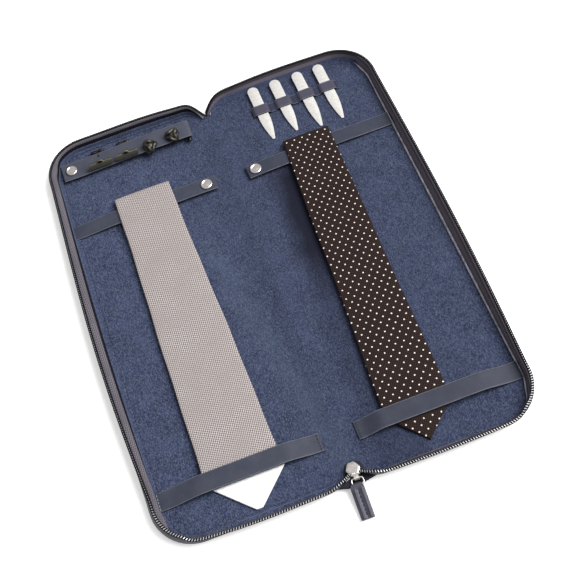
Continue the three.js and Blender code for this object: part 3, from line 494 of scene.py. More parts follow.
def settle(piece, slot, body=None, *nodes):
    """The piece stands for frame nodes, if any are named, and rides on its body; slot is not used."""
    if nodes:
        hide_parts(*nodes)
    if body:
        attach(piece, body)
    return piece


def soft_between(piece, start, stop):
    """Bakes the piece's transform into its mesh; start and stop, places in millimetres, are turned into metres and
    left unused.
    """
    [tuple(part * METRES for part in place) for place in (start, stop)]
    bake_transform(piece)


def ring_faces(rings, around, closed=False):
    """Quads between neighbouring rings of a lofted body, and a cap on each open end."""
    last = rings if closed else rings - 1
    row, column = np.meshgrid(np.arange(last), np.arange(around), indexing="ij")
    after, beside = (row + 1) % rings, (column + 1) % around
    quads = np.stack([
        row * around + column, row * around + beside, after * around + beside, after * around + column,
    ], -1).reshape(-1, 4).tolist()
    if closed:
        return quads
    end = (rings - 1) * around
    return quads + [list(range(around))[::-1], list(range(end, end + around))]


def loft(name, rings, material, closed=False, uv=None, crease=40.0):
    """Closed body through rings, an array of ring x point x 3."""
    rings = np.asarray(rings, float)
    return mesh_object(name, rings, ring_faces(*rings.shape[:2], closed), material, uv, crease)


def unit(vectors):
    return vectors / np.maximum(np.linalg.norm(vectors, axis=-1, keepdims=True), 1e-12)


def circle(radius, steps):
    angle = np.arange(steps) * 2 * np.pi / steps
    return radius * np.stack([np.cos(angle), np.sin(angle)], -1)


def along_of(points):
    """Distance along a line at each of its points."""
    return np.concatenate([[0], np.cumsum(np.linalg.norm(np.diff(points, axis=0), axis=1))])


def at_length(points, along, places):
    """What a table of points holds at distances along its line."""
    return np.stack([np.interp(places, along, column) for column in points.T], -1)


def sweep_rings(path, up, section, closed=False):
    """Rings p = path + a (t x up) + b (t x up) x t for the points (a, b) of a section and the tangent t."""
    path = np.asarray(path, float)
    if closed:
        tangent = np.roll(path, -1, 0) - np.roll(path, 1, 0)
    else:
        tangent = np.gradient(path, axis=0)
    tangent = unit(tangent)
    side = unit(np.cross(tangent, np.broadcast_to(np.asarray(up, float), path.shape)))
    upward = np.cross(side, tangent)
    section = np.asarray(section, float)
    if section.ndim == 2:
        section = np.broadcast_to(section, (len(path), *section.shape))
    return path[:, None] + side[:, None] * section[..., :1] + upward[:, None] * section[..., 1:]


def rounded_section(width, height, radius, flat=1, corner=3):
    """Points of a rectangle with rounded corners, counter-clockwise, with flat parts on its two long sides."""
    x, y = width / 2 - radius, height / 2 - radius
    turn = np.linspace(0, np.pi / 2, corner + 1)
    quarter = radius * np.stack([np.cos(turn), np.sin(turn)], -1)
    parts = []
    for place, (sign_x, sign_y) in enumerate(((1, 1), (-1, 1), (-1, -1), (1, -1))):
        piece = quarter * (sign_x, sign_y) + (sign_x * x, sign_y * y)
        parts.append(piece if place % 2 == 0 else piece[::-1])
        if place % 2 == 0 and flat > 1:
            steps = np.linspace(sign_x * x, -sign_x * x, flat + 1)[1:-1]
            parts.append(np.stack([steps, np.full(flat - 1, sign_y * height / 2)], -1))
    return np.concatenate(parts)


def shrunk_ends(section, path, radius):
    """The section at each path point, drawn in by r - sqrt(r^2 - (r - d)^2) at d < r from either end."""
    along = along_of(path)
    near = np.minimum(np.minimum(along, along[-1] - along), radius)
    drawn = radius - np.sqrt(np.maximum(radius**2 - (radius - near) ** 2, 0))
    rings = np.broadcast_to(section, (len(path), *np.shape(section)[-2:]))
    return np.sign(rings) * np.maximum(np.abs(rings) - drawn[:, None, None], 0.02)


def resampled(points, step, ends=()):
    """Points every step along a line, with further ones at the distances in ends from both of its ends."""
    points = np.asarray(points, float)
    along = along_of(points)
    places = np.linspace(0, along[-1], max(int(round(along[-1] / step)), 2) + 1)
    extra = [d for end in ends for d in (end, along[-1] - end)]
    return at_length(points, along, np.unique(np.concatenate([places, extra]).round(6)))


def stamped(name, shape, faces, origins, axes, material, crease=40.0):
    """One mesh of the same small shape at many places: p = origin + shape . axes."""
    points = origins[:, None] + np.einsum("kj,njm->nkm", shape, axes)
    all_faces = []
    for size in sorted({len(face) for face in faces}):
        block = np.array([face for face in faces if len(face) == size])
        first = len(shape) * np.arange(len(origins))[:, None, None]
        all_faces += (block[None] + first).reshape(-1, size).tolist()
    return mesh_object(name, points, all_faces, material, None, crease)


def slab_rings(outline, levels):
    """Rings of a counter-clockwise outline drawn in by each (inset, z)."""
    outline = np.asarray(outline, float)
    ahead = np.roll(outline, -1, 0) - np.roll(outline, 1, 0)
    outward = unit(np.stack([ahead[:, 1], -ahead[:, 0]], -1))
    level = np.ones(len(outline))
    return np.array([np.column_stack([outline - inset * outward, z * level]) for inset, z in levels])


def slab(name, outline, levels, material, place=(0, 0, 0), crease=40.0):
    """Closed plate through the rings of an outline."""
    return loft(name, slab_rings(outline, levels) + np.asarray(place, float), material, crease=crease)


def turned(name, profile, place, material, steps):
    """Body turned about an upright line through place, from (radius, z) points."""
    rings = [np.column_stack([circle(max(radius, 0.01), steps), np.full(steps, z)]) for radius, z in profile]
    return loft(name, np.array(rings) + np.asarray(place, float), material)


STITCH_SHAPE = np.array([
    [t, r * math.cos(a), r * math.sin(a)]
    for t, r in ((-0.5, 0.1), (-0.38, 0.26), (0.38, 0.26), (0.5, 0.1)) for a in np.arange(6) * math.pi / 3
])
STITCH_FACES = ring_faces(4, 6)


def stitches(name, line, length, gap, material, thickness=1.0):
    """Thread stitches of one length along a level line, with gaps between, drawn as flat spindles."""
    dense = resampled(line, 0.25)
    along = along_of(dense)
    middles = np.arange(length / 2, along[-1] - length / 2 + 0.01, length + gap)
    tangent = unit(at_length(dense, along, middles + 0.2) - at_length(dense, along, middles - 0.2))
    side = unit(np.cross(tangent, (0.0, 0.0, 1.0)))
    axes = np.stack([tangent * length, side * thickness, np.cross(side, tangent) * thickness], 1)
    return stamped(name, STITCH_SHAPE, STITCH_FACES, at_length(dense, along, middles), axes, material)


# ---------------------------------------------------------------- rim line

def rim_line(bows):
    """Foot outline of the right tray from the foot of the spine, round its side, to the head, every 2 mm.

    Each point has the way out and a bow, how far the rim leans out over the foot of the wall.
    bows holds the lean at the foot notch, foot middle, foot corner, low side, side, high side,
    head corner, head middle and head notch. Along an edge it is mix(a, b, s) with the middle's
    value mixed in by sin(pi s).
    """
    foot_notch, foot, foot_corner, low_side, side, high_side, head_corner, head, head_notch = bows
    corner_x, corner_y = HALF_WIDTH - CORNER, HALF_LENGTH - CORNER
    notch_y = HALF_LENGTH - NOTCH_RADIUS
    table = []

    def arc(x, y, radius, start, stop, start_bow, stop_bow, steps=60):
        share = np.linspace(0, 1, steps, endpoint=False)
        angle = mix(start, stop, share) * DEGREE
        way = np.stack([np.cos(angle), np.sin(angle)], -1)
        table.append(np.column_stack([np.array([x, y]) + radius * way, way, mix(start_bow, stop_bow, share)]))

    def edge(start, stop, way, start_bow, middle_bow, stop_bow, steps=80):
        share = np.linspace(0, 1, steps, endpoint=False)
        points = np.array(start) + np.outer(share, np.subtract(stop, start))
        bow = mix(mix(start_bow, stop_bow, share), middle_bow, np.sin(np.pi * share))
        table.append(np.column_stack([points, np.tile(way, (steps, 1)), bow]))

    slant = math.sqrt(0.5)
    tip = NOTCH_REACH - NOTCH_RADIUS * slant
    tip_y = notch_y + NOTCH_RADIUS * slant
    edge((0, tip - tip_y), (tip, -tip_y), (-slant, -slant), foot_notch, foot_notch, foot_notch, 10)
    arc(NOTCH_REACH, -notch_y, NOTCH_RADIUS, -135, -90, foot_notch, foot_notch)
    edge((NOTCH_REACH, -HALF_LENGTH), (corner_x, -HALF_LENGTH), (0, -1), foot_notch, foot, foot_corner)
    arc(corner_x, -corner_y, CORNER, -90, 0, foot_corner, low_side)
    edge((HALF_WIDTH, -corner_y), (HALF_WIDTH, corner_y), (1, 0), low_side, side, high_side)
    arc(corner_x, corner_y, CORNER, 0, 90, high_side, head_corner)
    edge((corner_x, HALF_LENGTH), (NOTCH_REACH, HALF_LENGTH), (0, 1), head_corner, head, head_notch)
    arc(NOTCH_REACH, notch_y, NOTCH_RADIUS, 90, 135, head_notch, head_notch)
    edge((tip, tip_y), (0, tip_y - tip), (-slant, slant), head_notch, head_notch, head_notch, 10)
    table = np.vstack([*table, [0, tip_y - tip, -slant, slant, head_notch]])
    along = along_of(table[:, :2])
    table = at_length(table, along, np.linspace(0, along[-1], int(along[-1] / 2) // 2 * 2 + 1))
    kernel = np.hanning(17) / np.hanning(17).sum()
    table[:, 4] = np.convolve(np.pad(table[:, 4], 8, mode="edge"), kernel, "valid")
    table[:, 2:4] = unit(table[:, 2:4])
    return table


RIM_LINES = {
    1: rim_line((3.2, 4.4, 3.0, -1.6, 2.4, -0.3, 2.0, 3.4, 0.8)),
    -1: rim_line((3.2, 4.4, 1.4, -3.6, 4.2, -0.3, 2.0, 2.4, -0.8)),
}


def rim_points(side, out, share, lift, line):
    """Point of the wall: p = foot + way (out + bow share), z from the panel to the rim by share, plus a lift.

    The rim falls to a low level at the notch: z_rim = mix(NOTCH_RIM, RIM, sin(90 |x| / NOTCH_RISE)).
    At the head the notch lies HEAD_NOTCH_X beside the middle, which fades out over 24 mm.
    """
    reach = np.asarray(out) + line[:, 4] * share
    x = line[:, 0] + line[:, 2] * reach
    y = line[:, 1] + line[:, 3] * reach
    top = mix(NOTCH_RIM, RIM, np.sin(np.clip(np.abs(line[:, 0]) / NOTCH_RISE, 0, 1) * np.pi / 2))
    z = mix(FOOT_LEVEL, top, share) + lift
    shift = np.where(line[:, 1] > 0, HEAD_NOTCH_X, 0) * (1 - smooth(line[:, 0] / 24))
    return np.stack([side * np.maximum(x, 0.1) + shift, y, z], -1)


def rim_between(side, foot_x, head_x):
    """The part of the rim line from X = foot_x at the foot round to X = head_x at the head."""
    line = RIM_LINES[side]
    middle = len(line) // 2
    keep = np.ones(len(line), bool)
    keep[:middle] = line[:middle, 0] >= foot_x
    keep[middle:] = line[middle:, 0] >= head_x
    return line[keep]


def rim_band(name, side, section, material, foot_x, head_x=0.0, reach=None, roll=(0, 0)):
    """Closed band round the rim through a ring of (out, share, lift) points.

    reach(side, line) narrows the band along the rim: out becomes root + (out - root) reach, with the
    ring's first out as root. roll is added to (out, share) where the chain rolls over the foot.
    """
    line = rim_between(side, foot_x, head_x)
    narrow = 1.0 if reach is None else reach(side, line)
    rolled = chain_roll(line)
    root = section[0][0]
    rings = np.stack([
        rim_points(side, root + (out - root) * narrow + roll[0] * rolled, share + roll[1] * rolled, lift, line)
        for out, share, lift in section
    ], 1)
    along, across = along_of(rings[:, 0]), along_of(rings[len(rings) // 2])
    uv = np.stack(np.broadcast_arrays(along[:, None], across[None]), -1) * METRES
    return loft(name, rings, material, uv=uv, crease=50.0)


def soft_at_spine(piece, side, start=6.0, end=18.6):
    """Hands places beside the spine to soft_between(), which only bakes the piece's transform."""
    soft_between(piece, (side * start, 0, FLOOR), (side * end, 0, FLOOR))


# ---------------------------------------------------------------- trays

def tray_grid(side, inset, along_steps):
    """Grid of (x, y) over a tray from the spine's middle to its side, and each point's way to the walls."""
    line = RIM_LINES[side]
    half = len(line) // 2
    foot = line[:half, :2] - inset * line[:half, 2:4]
    last = int(np.argmax(foot[:, 0] > foot[:, 0].max() - 1e-3))
    foot = foot[: last + 1]
    foot[0, 0] = 0
    share = np.linspace(0, 1, along_steps)
    share = mix(share, smooth(share), 0.35)
    y = foot[:, 1, None] * (1 - 2 * share)[None]
    x = side * np.broadcast_to(foot[:, 0, None], y.shape)
    away = np.minimum(np.abs(side * x[-1, 0] - np.abs(x)), np.abs(y[:, :1]) - np.abs(y))
    return x, y, away


def plate_over_grid(name, x, y, top, bottom, material):
    """Closed sheet between two height fields over one grid."""
    rows, columns = x.shape
    points = np.concatenate([np.stack([x, y, z], -1).reshape(-1, 3) for z in (top, bottom)])
    row, column = np.meshgrid(np.arange(rows - 1), np.arange(columns - 1), indexing="ij")
    start = (row * columns + column).ravel()
    quads = np.stack([start, start + columns, start + columns + 1, start + 1], -1)
    below = quads[:, ::-1] + rows * columns
    edge = np.concatenate([
        np.arange(columns - 1), np.arange(rows - 1) * columns + columns - 1,
        (rows - 1) * columns + np.arange(columns - 1, 0, -1), np.arange(rows - 1, 0, -1) * columns,
    ])
    after = np.roll(edge, -1)
    sides = np.stack([edge, after, after + rows * columns, edge + rows * columns], -1)
    return mesh_object(name, points, np.concatenate([quads, below, sides]).tolist(), material, None, 50.0)


def suede_height(x, y, away):
    """Height of the suede: flat, with a soft hump down the spine, and faint waves that fade beside the walls."""
    hump = 1.3 * np.exp(-((x / 7.5) ** 2)) * smooth((178 - np.abs(y)) / 40)
    waves = 0.10 * np.sin(x / 13 + 1.3 * np.sin(y / 41)) + 0.07 * np.sin(y / 17 + x / 29)
    return FLOOR + hump + waves * smooth(away / 12) * smooth(np.abs(x) / 20)


for side, word in WORDS.items():
    x, y, away = tray_grid(side, 2.1, 200)
    top = suede_height(x, y, np.maximum(away, 0))
    lining = plate_over_grid(f"{word}_suede", x, y, top, np.full(x.shape, FOOT_LEVEL), SUEDE)
    settle(lining, "suede", None, f"{word}_lining", *(["spine_lining"] if side == 1 else []))
    x, y, away = tray_grid(side, 0.0, 90)
    round_off = 1.0 - np.sqrt(1 - (1 - np.clip(away / 1.0, 0, 1)) ** 2)
    panel = plate_over_grid(f"{word}_outer_leather", x, y, np.full(x.shape, FOOT_LEVEL - 0.1), round_off, OUTER)
    settle(panel, "leather", None, f"{word}_outer_panel", *(["spine_cover"] if side == 1 else []))
    for piece in (lining, panel):
        soft_at_spine(piece, side, FOLD_X - 4, FOLD_X + 4)


# ---------------------------------------------------------------- walls, zip tapes, chains and their stitching

# Rings of (out, share, lift) points for rim_band()
WALL = (
    (-1.8, 0.0, 0), (0.0, 0.0, 0), (0.5, 0.12, 0), (0.7, 0.3, 0), (0.4, 0.5, 0), (-0.1, 0.64, 0), (-0.5, 0.68, 0),
    (-1.4, 0.68, 0), (-1.8, 0.6, 0), (-2.0, 0.3, 0),
)
TAPE_RIDGES = {
    1: (
        (-0.5, 0.70, 0), (-0.15, 0.76, 0), (-0.2, 0.85, 0), (-0.7, 0.90, 0), (-1.9, 0.93, 0), (-3.2, 0.91, 0),
        (-4.0, 0.83, 0), (-4.1, 0.75, 0), (-3.4, 0.69, 0), (-2.0, 0.69, 0),
    ),
    -1: (
        (-0.5, 0.70, 0), (-0.15, 0.76, 0), (-0.2, 0.85, 0), (-0.8, 0.90, 0), (-2.2, 0.93, 0), (-4.2, 0.93, 0),
        (-5.8, 0.89, 0), (-6.7, 0.80, 0), (-6.7, 0.72, 0), (-5.6, 0.69, 0), (-2.0, 0.69, 0),
    ),
}
TOOTH_BAND = (
    (-2.0, 0.90, 0), (0.3, 0.88, 0), (0.5, 0.92, 0), (0.2, 0.97, 0), (-1.8, 0.98, 0), (-2.3, 0.95, 0),
)
# Dark band in the crease under the left tape roll: painted shade
CREVICE_SHADE = (
    (-0.5, 0.45, 0), (-0.5, 0.66, 0), (-6.2, 0.67, 0), (-6.9, 0.63, 0), (-7.1, 0.44, 0), (-6.4, 0.38, 0),
)
BORDER_STRIPS = {
    1: (
        (-1.9, 0.0, 0.6), (-1.9, 0.69, 0), (-2.5, 0.69, 0), (-3.0, 0.45, 0), (-3.6, 0.25, 0), (-4.3, 0.12, 0),
        (-4.9, 0.07, 0.6), (-5.3, 0.07, 1.3), (-5.9, 0.07, 1.6), (-6.5, 0.07, 1.1), (-6.7, 0.05, 0.2),
        (-6.7, 0.0, 0.6),
    ),
    -1: (
        (-0.5, 0.0, 0.6), (-0.5, 0.4, 0), (-6.2, 0.44, 0), (-6.8, 0.42, 0), (-7.1, 0.3, 0), (-7.5, 0.12, 0.3),
        (-8.4, 0.08, 0.6), (-9.6, 0.07, 0.6), (-10.6, 0.06, 0.3), (-11.0, 0.0, 0.6),
    ),
}
HEAD_FILLET = (
    (-2.0, 0.0, 0.6), (-2.2, 0.40, 0), (-3.0, 0.38, 0), (-3.6, 0.27, 0), (-4.4, 0.16, 0), (-5.4, 0.1, 0.3),
    (-6.4, 0.07, 0.4), (-6.6, 0.0, 0.6),
)
# Out of the stitches: the first number less the second times border_reach()
STITCH_OUT = {1: (-1.9, 5.4), -1: (-0.5, 10.2)}
TOOTH_PITCH = 2.15
TOOTH_LEAN = 0.35
# Out and share of the teeth's middle on the rim, and what the roll along the foot adds to them
TOOTH_LINE = (-0.85, 0.965)
CHAIN_ROLL = (1.3, -0.15)


def ends_share(line):
    """How near a place of the rim is to the foot and to the head, each from 0 to 1."""
    return smooth((-line[:, 1] - (HALF_LENGTH - 22)) / 16), smooth((line[:, 1] - (HALF_LENGTH - 22)) / 16)


def border_reach(side, line):
    """The border strip is narrower along the foot and the head."""
    foot, head = ends_share(line)
    return mix(mix(1.0, 0.15 if side > 0 else 0.62, foot), 0.12 if side > 0 else 0.5, head)


def fillet_reach(side, line):
    """The suede climbs the wall along the right tray's head only."""
    return ends_share(line)[1] * 0.9


def tape_reach(side, line):
    """The rolled tape stands in full along the sides, less along the head, and lies flat along the foot."""
    foot, head = ends_share(line)
    return mix(mix(1.0, 0.12 if side > 0 else 0.07, foot), 0.45 if side > 0 else 0.42, head)


def chain_roll(line):
    """Along the foot the chain rolls outward over the wall; it stands up again at the corners and the notch."""
    return smooth((-line[:, 1] - (HALF_LENGTH - 5)) / 4) * smooth((line[:, 0] - 12) / 16)


def banded(side, name, section, material, slot, nodes=(), **settings):
    """Band of one side, standing for nodes of that side; slot is not used, and the settings go to rim_band()."""
    word = WORDS[side]
    made = rim_band(f"{word}_{name}", side, section, material, **settings)
    return settle(made, slot, None, *(f"{word}_{node}" for node in nodes))


TOOTH_SHAPE = np.array([
    [a * s, b * t, z]
    for a, t, z in ((0.5, 1.0, -0.7), (0.5, 1.0, 0.25), (0.32, 0.86, 0.7))
    for s, b in ((1, -1.0), (1, 1.0), (-1, 1.0), (-1, -1.0))
])


def zip_teeth(side):
    """Teeth on their tape; along the head and the sides only their tops show."""
    line = rim_between(side, 4.0, 12.0)
    rolled = chain_roll(line)
    out, share = (start + roll * rolled for start, roll in zip(TOOTH_LINE, CHAIN_ROLL))
    dense = resampled(rim_points(side, out, share, 0.0, line), 0.2)
    along = along_of(dense)
    places = np.arange(0.8, along[-1] - 0.8, TOOTH_PITCH)
    at = at_length(dense, along, places)
    tangent = unit(at_length(dense, along, places + 0.3) - at)
    across = unit(np.cross(tangent, (0, 0, 1)))
    slanted = unit(across + TOOTH_LEAN * side * tangent)
    shown = mix(0.2, 1.0, smooth((HALF_LENGTH * -0.78 - at[:, 1]) / 22))[:, None]
    axes = np.stack([tangent * 0.85, slanted * shown, np.cross(across, tangent) * mix(0.5, 0.75, shown)], 1)
    word = WORDS[side]
    teeth = stamped(f"{word}_zip_teeth", TOOTH_SHAPE, ring_faces(3, 4), at, axes, TOOTH, 30.0)
    return settle(teeth, "zip_metal", None, f"{word}_zip_chain")


def border_stitches(side):
    line = rim_between(side, 15.0, 8.0)
    root, width = STITCH_OUT[side]
    seam = rim_points(side, root - width * border_reach(side, line), 0.07, 0.3, line)
    return settle(stitches(f"{WORDS[side]}_border_stitches", seam, 2.5, 1.1, STITCH, 1.2), "leather")


for side in WORDS:
    pieces = [
        banded(side, "wall_leather", WALL, OUTER, "leather", ("wall", "head_gusset", "foot_gusset"), foot_x=2.0),
        banded(
            side, "tape_ridge", TAPE_RIDGES[side], TAPES[side], "zip_tape", ("zip_tape",), foot_x=6.0,
            reach=tape_reach,
        ),
        banded(side, "tooth_bed", TOOTH_BAND, ZIP_BED_AND_CREVICE_SHADE, "zip_tape", foot_x=4.0, roll=CHAIN_ROLL),
        banded(
            side, "border_strip", BORDER_STRIPS[side], BORDERS[side], "suede", foot_x=13.0, head_x=1.0,
            reach=border_reach,
        ),
    ]
    if side > 0:
        pieces.append(banded(
            side, "head_fillet", HEAD_FILLET, SUEDE, "suede", foot_x=13.0, head_x=1.0, reach=fillet_reach,
        ))
    else:
        # The left tray gets a dark band of painted shade where the tape roll meets the wall, in the zip bed's
        # material
        pieces.append(banded(
            side, "painted_crevice_shade", CREVICE_SHADE, ZIP_BED_AND_CREVICE_SHADE, "zip_tape", foot_x=13.0, head_x=4.0, reach=tape_reach,
        ))
    pieces += [zip_teeth(side), border_stitches(side)]
    for piece in pieces:
        soft_at_spine(piece, side)


# ---------------------------------------------------------------- straps

ROUND_ENDS = (0.04, 0.15, 0.32, 0.5)


def eased_line(points, steps=10):
    """Line through (x, z) points whose slopes are smooth(s)."""
    line = [points[0]]
    for (x, z), (end_x, end_z) in zip(points, points[1:]):
        share = np.arange(1, steps + 1) / steps
        line += list(zip(mix(x, end_x, share), mix(z, end_z, smooth(share))))
    return np.array(line)


def strap_uv(along, section, width):
    """UV of a strap in metres: the way along it and the distance from its nearer edge."""
    inward = width / 2 - np.abs(section[:, 0])
    return np.stack(np.broadcast_arrays(along[:, None], inward[None]), -1) * METRES


def strap_body(name, points, middle_y, width, thickness, material, skew=0.0, step=2.0, radius=0.5):
    """Leather band along X with its underside on (x, z) points, rounded at its edges and ends.

    Its middle runs at y = middle_y + skew (x - x0).
    """
    line = resampled(eased_line(points), step, ROUND_ENDS)
    middle = middle_y + skew * (line[:, 0] - line[0, 0])
    path = np.column_stack([line[:, 0], middle, line[:, 1] + thickness / 2])
    section = rounded_section(width, thickness, radius, 8)
    rings = sweep_rings(path, (0, 0, 1), shrunk_ends(section, path, radius))
    return loft(name, rings, material, uv=strap_uv(along_of(path), section, width))


def strap_place(word, node):
    """Corners of a strap's box, X of its outer and inner end, and the sign of the way out."""
    low, high = box_mm(node)
    outer, inner = (low[0], high[0]) if word == "left" else (high[0], low[0])
    return low, high, outer, inner, math.copysign(1, outer)


def cross_stitches(name, x, low_y, high_y, top, material, length=2.0, gap=0.9, thickness=1.0, inset=1.2):
    """Row of stitches across a strap, from edge to edge less the inset."""
    line = np.array([[x, low_y + inset, top], [x, high_y - inset, top]])
    return stitches(name, line, length, gap, material, thickness)


def foot_strap(word):
    """Lower strap of a tray, over the foot of its tie, stitched at both ends."""
    name, top, body = f"{word}_foot_strap", REST + STRAP_THICK + 0.02, f"{word}_half"
    low, high, outer, inner, out = strap_place(word, name)
    tie_outer, tie_inner = (TIES[word]["foot_x"] + sign * out * TIES[word]["foot_width"] / 2 for sign in (1, -1))
    slope_end = out * max(abs(outer) - 38, abs(tie_outer) + 1)
    points = [
        (outer + out * 1.0, REST - 0.1), (outer - out * 8, REST), (slope_end, FOOT_STRAP_OVER),
        (tie_inner - out * 0.5, FOOT_STRAP_OVER), (inner + out * 4, REST + 0.1), (inner, REST - 0.1),
    ]
    middle, width = (low[1] + high[1]) / 2, high[1] - low[1]
    strap = strap_body(f"{name}_leather", points, middle, width, STRAP_THICK, STRAPS[word])
    settle(strap, "leather", body, name)
    for end, x, material, thickness in (
        ("inner", inner + out * 2.2, STITCH, 1.5), ("outer", outer - out * 1.6, PALE_STITCH, 1.0),
    ):
        seam = cross_stitches(f"{name}_{end}_stitches", x, low[1], high[1], top, material, thickness=thickness)
        settle(seam, "leather", body)


def tie_strap(word, room, skew):
    """Upper strap of a tray: stitched at its outer end, under the folded tie, snapped at its inner end."""
    name, body = f"{word}_tie_strap", f"{word}_half"
    _, _, outer, inner, out = strap_place(word, name)
    snap_x, snap_y, _ = middle_of(f"{word}_tie_snap_cap")
    reach = abs(snap_x - inner)
    half = TIES[word]["fold_width"] / 2 + room
    tie_outer, tie_inner = (TIES[word]["fold_x"] + sign * out * half for sign in (1, -1))
    points = [
        (outer + out * 1.5, REST - 0.1), (outer - out * 8, REST), (tie_outer + out * 0.5, OVER_TIE),
        (tie_inner - out * 0.5, OVER_TIE), (inner + out * reach * 2, SNAP_LEVEL), (inner, SNAP_LEVEL - 0.3),
    ]
    width = 15.0
    start_y = snap_y + skew * abs(outer - snap_x)
    strap = strap_body(f"{name}_leather", points, start_y, width, STRAP_THICK, STRAPS[word], skew * out)
    settle(strap, "leather", None, name)
    soft_between(strap, (outer, snap_y, REST), (outer - out * 7, snap_y, REST))
    settle(cross_stitches(
        f"{name}_stitches", outer - out * 1.2, start_y - width / 2, start_y + width / 2,
        REST + STRAP_THICK + 0.02, PALE_STITCH,
    ), "leather", body)


# (x, z) of two places at the fold of the cufflink strap, given to soft_between(), which leaves them unused
CUFF_FOLD_SOFT = ((0, 7.7), (-0.426, 11.957))


def cufflink_strap():
    """Foot under the fold, the fold, and the raised run with its dropped snap end."""
    low, high = box_mm("cufflink_strap")
    thick, run_end, snap_start, foot_width = 1.2, -62, -131, 9.2
    width = high[1] - low[1]
    foot_z = REST + thick / 2
    run_z = high[2] - thick / 2
    end_z = SNAP_LEVEL + thick / 2
    radius = (run_z - foot_z) / 2
    fold_x = high[0] - radius - thick / 2
    angle = np.linspace(-np.pi / 2, np.pi / 2, 20)
    foot = [(fold_x - 14, foot_z), (fold_x - 6, foot_z)]
    fold = list(zip(fold_x + radius * np.cos(angle), foot_z + radius * (1 + np.sin(angle))))
    run = [(mix(fold_x, run_end, s), run_z) for s in np.linspace(0, 1, 16)[1:]]
    drop = [
        (mix(run_end, snap_start, s), mix(run_z, end_z, mix(s, smooth(s), 0.4))) for s in np.linspace(0, 1, 24)[1:]
    ]
    line = resampled(np.array(foot + fold + run + drop + [(low[0], end_z)]), 1.4, ROUND_ENDS)
    tangent = unit(np.gradient(line, axis=0))
    middle_y = (low[1] + high[1]) / 2
    path = np.column_stack([line[:, 0], np.full(len(line), middle_y), line[:, 1]])
    up = np.column_stack([tangent[:, 1], np.zeros(len(line)), -tangent[:, 0]])
    section = rounded_section(width, thick, 0.45, 10)
    rings_in = shrunk_ends(section, path, 0.45).copy()
    length = along_of(path)
    # The foot is narrower than the run, and keeps to the strap's edge at the head
    narrow = 1 - smooth((length - 14) / (np.pi * radius * 0.7))
    side = np.sign(np.cross(unit(np.gradient(path, axis=0)), up)[:, 1])
    across = rings_in[..., 0] * side[:, None]
    across = mix(across, across * (foot_width / width) + (width - foot_width) / 2, narrow[:, None])
    rings_in[..., 0] = across * side[:, None]
    uv = strap_uv(length, section, width)
    strap = loft("cufflink_strap_leather", sweep_rings(path, up, rings_in), CUFF_LEATHER, uv=uv)
    settle(strap, "leather", None, "cufflink_strap")
    (still_x, still_z), (lifted_x, lifted_z) = CUFF_FOLD_SOFT
    soft_between(
        strap, (still_x, middle_y, still_z), (lifted_x, middle_y, lifted_z),
    )


# Collar stays: (x, y) of head and tip; their heads stand STAY_RISE above their tips, and the loops go over them
STAY_ENDS = (
    ((46.4, 199.7), (47.6, 136.0)), ((68.2, 199.7), (70.2, 136.3)),
    ((90.6, 199.7), (92.7, 131.6)), ((111.8, 199.7), (113.7, 131.8)),
)
STAY_RISE = 3.0
LOOP_LIFT = 1.7
LOOP_Y = 171.5


def loop_strip():
    """Strip stitched down between the collar stays, with a loop over each of them."""
    low, high = box_mm("stay_loop_strip")
    over = box_mm("collar_stay_1")[1][2] + LOOP_LIFT
    middles = [mix(tip[0], head[0], (LOOP_Y - tip[1]) / (head[1] - tip[1])) for head, tip in STAY_ENDS]
    points = [(low[0], REST - 0.1)]
    for x in middles:
        points += [(x - 8.4, REST), (x - 5.6, over), (x + 5.6, over), (x + 8.4, REST)]
    points += [(high[0], REST - 0.1)]
    middle, width = (low[1] + high[1]) / 2, high[1] - low[1]
    strip = strap_body("stay_loop_leather", points, middle, width, 1.0, LOOP, step=1.2, radius=0.4)
    settle(strip, "leather", "right_half", "stay_loop_strip")
    for place, x in enumerate(middles, 1):
        for letter, offset in (("a", -8.6), ("b", 8.6)):
            seam = cross_stitches(
                f"stay_loop_stitches_{place}{letter}", x + offset, low[1], high[1], REST + 1.02, STITCH, 1.9, 0.6,
                1.2, 0.4,
            )
            settle(seam, "leather", "right_half")


foot_strap("left")
foot_strap("right")
tie_strap("left", 1.5, 0.0)
tie_strap("right", 0.5, RIGHT_STRAP_SKEW)
cufflink_strap()
loop_strip()


# ---------------------------------------------------------------- snap fasteners

# Cap of radius 5.4 as (radius, depth below its top): a rolled rim and a shallow dent
SNAP_CAP = (
    (0, 1.5), (5.0, 1.5), (5.4, 1.2), (5.35, 0.7), (4.9, 0.25), (4.4, 0.02), (3.9, 0.12), (3.5, 0.55), (3.1, 0.6),
    (2.2, 0.3), (0, 0.22),
)


def snap(word, tray, strap):
    """Cap, socket and stud."""
    low, high = box_mm(f"{word}_snap_cap")
    x, y = (low[:2] + high[:2]) / 2
    scale = (high[0] - low[0]) / 2 / 5.4
    profile = [(radius * scale, high[2] - depth) for radius, depth in SNAP_CAP]
    cap = turned(f"{word}_snap_dome", profile, (x, y, 0), NICKEL, 48)
    settle(cap, "bright_metal", strap, f"{word}_snap_cap")
    for part, body in (("socket", strap), ("stud", tray)):
        low, high = box_mm(f"{word}_snap_{part}")
        outer, bottom, height = (high[0] - low[0]) / 2, low[2], high[2] - low[2]
        profile = [
            (0, 0), (outer, 0), (outer, height * 0.55), (outer - 0.4, height * 0.75), (outer * 0.45, height * 0.8),
            (outer * 0.4, height), (0, height),
        ]
        made = turned(f"{word}_snap_{part}_ring", profile, (x, y, bottom), NICKEL, 32)
        settle(made, "bright_metal", body, f"{word}_snap_{part}")


snap("left_tie", "left_half", "left_tie_strap")
snap("right_tie", "right_half", "right_tie_strap")
snap("cufflink", "left_half", "cufflink_strap")


# ---------------------------------------------------------------- collar stays

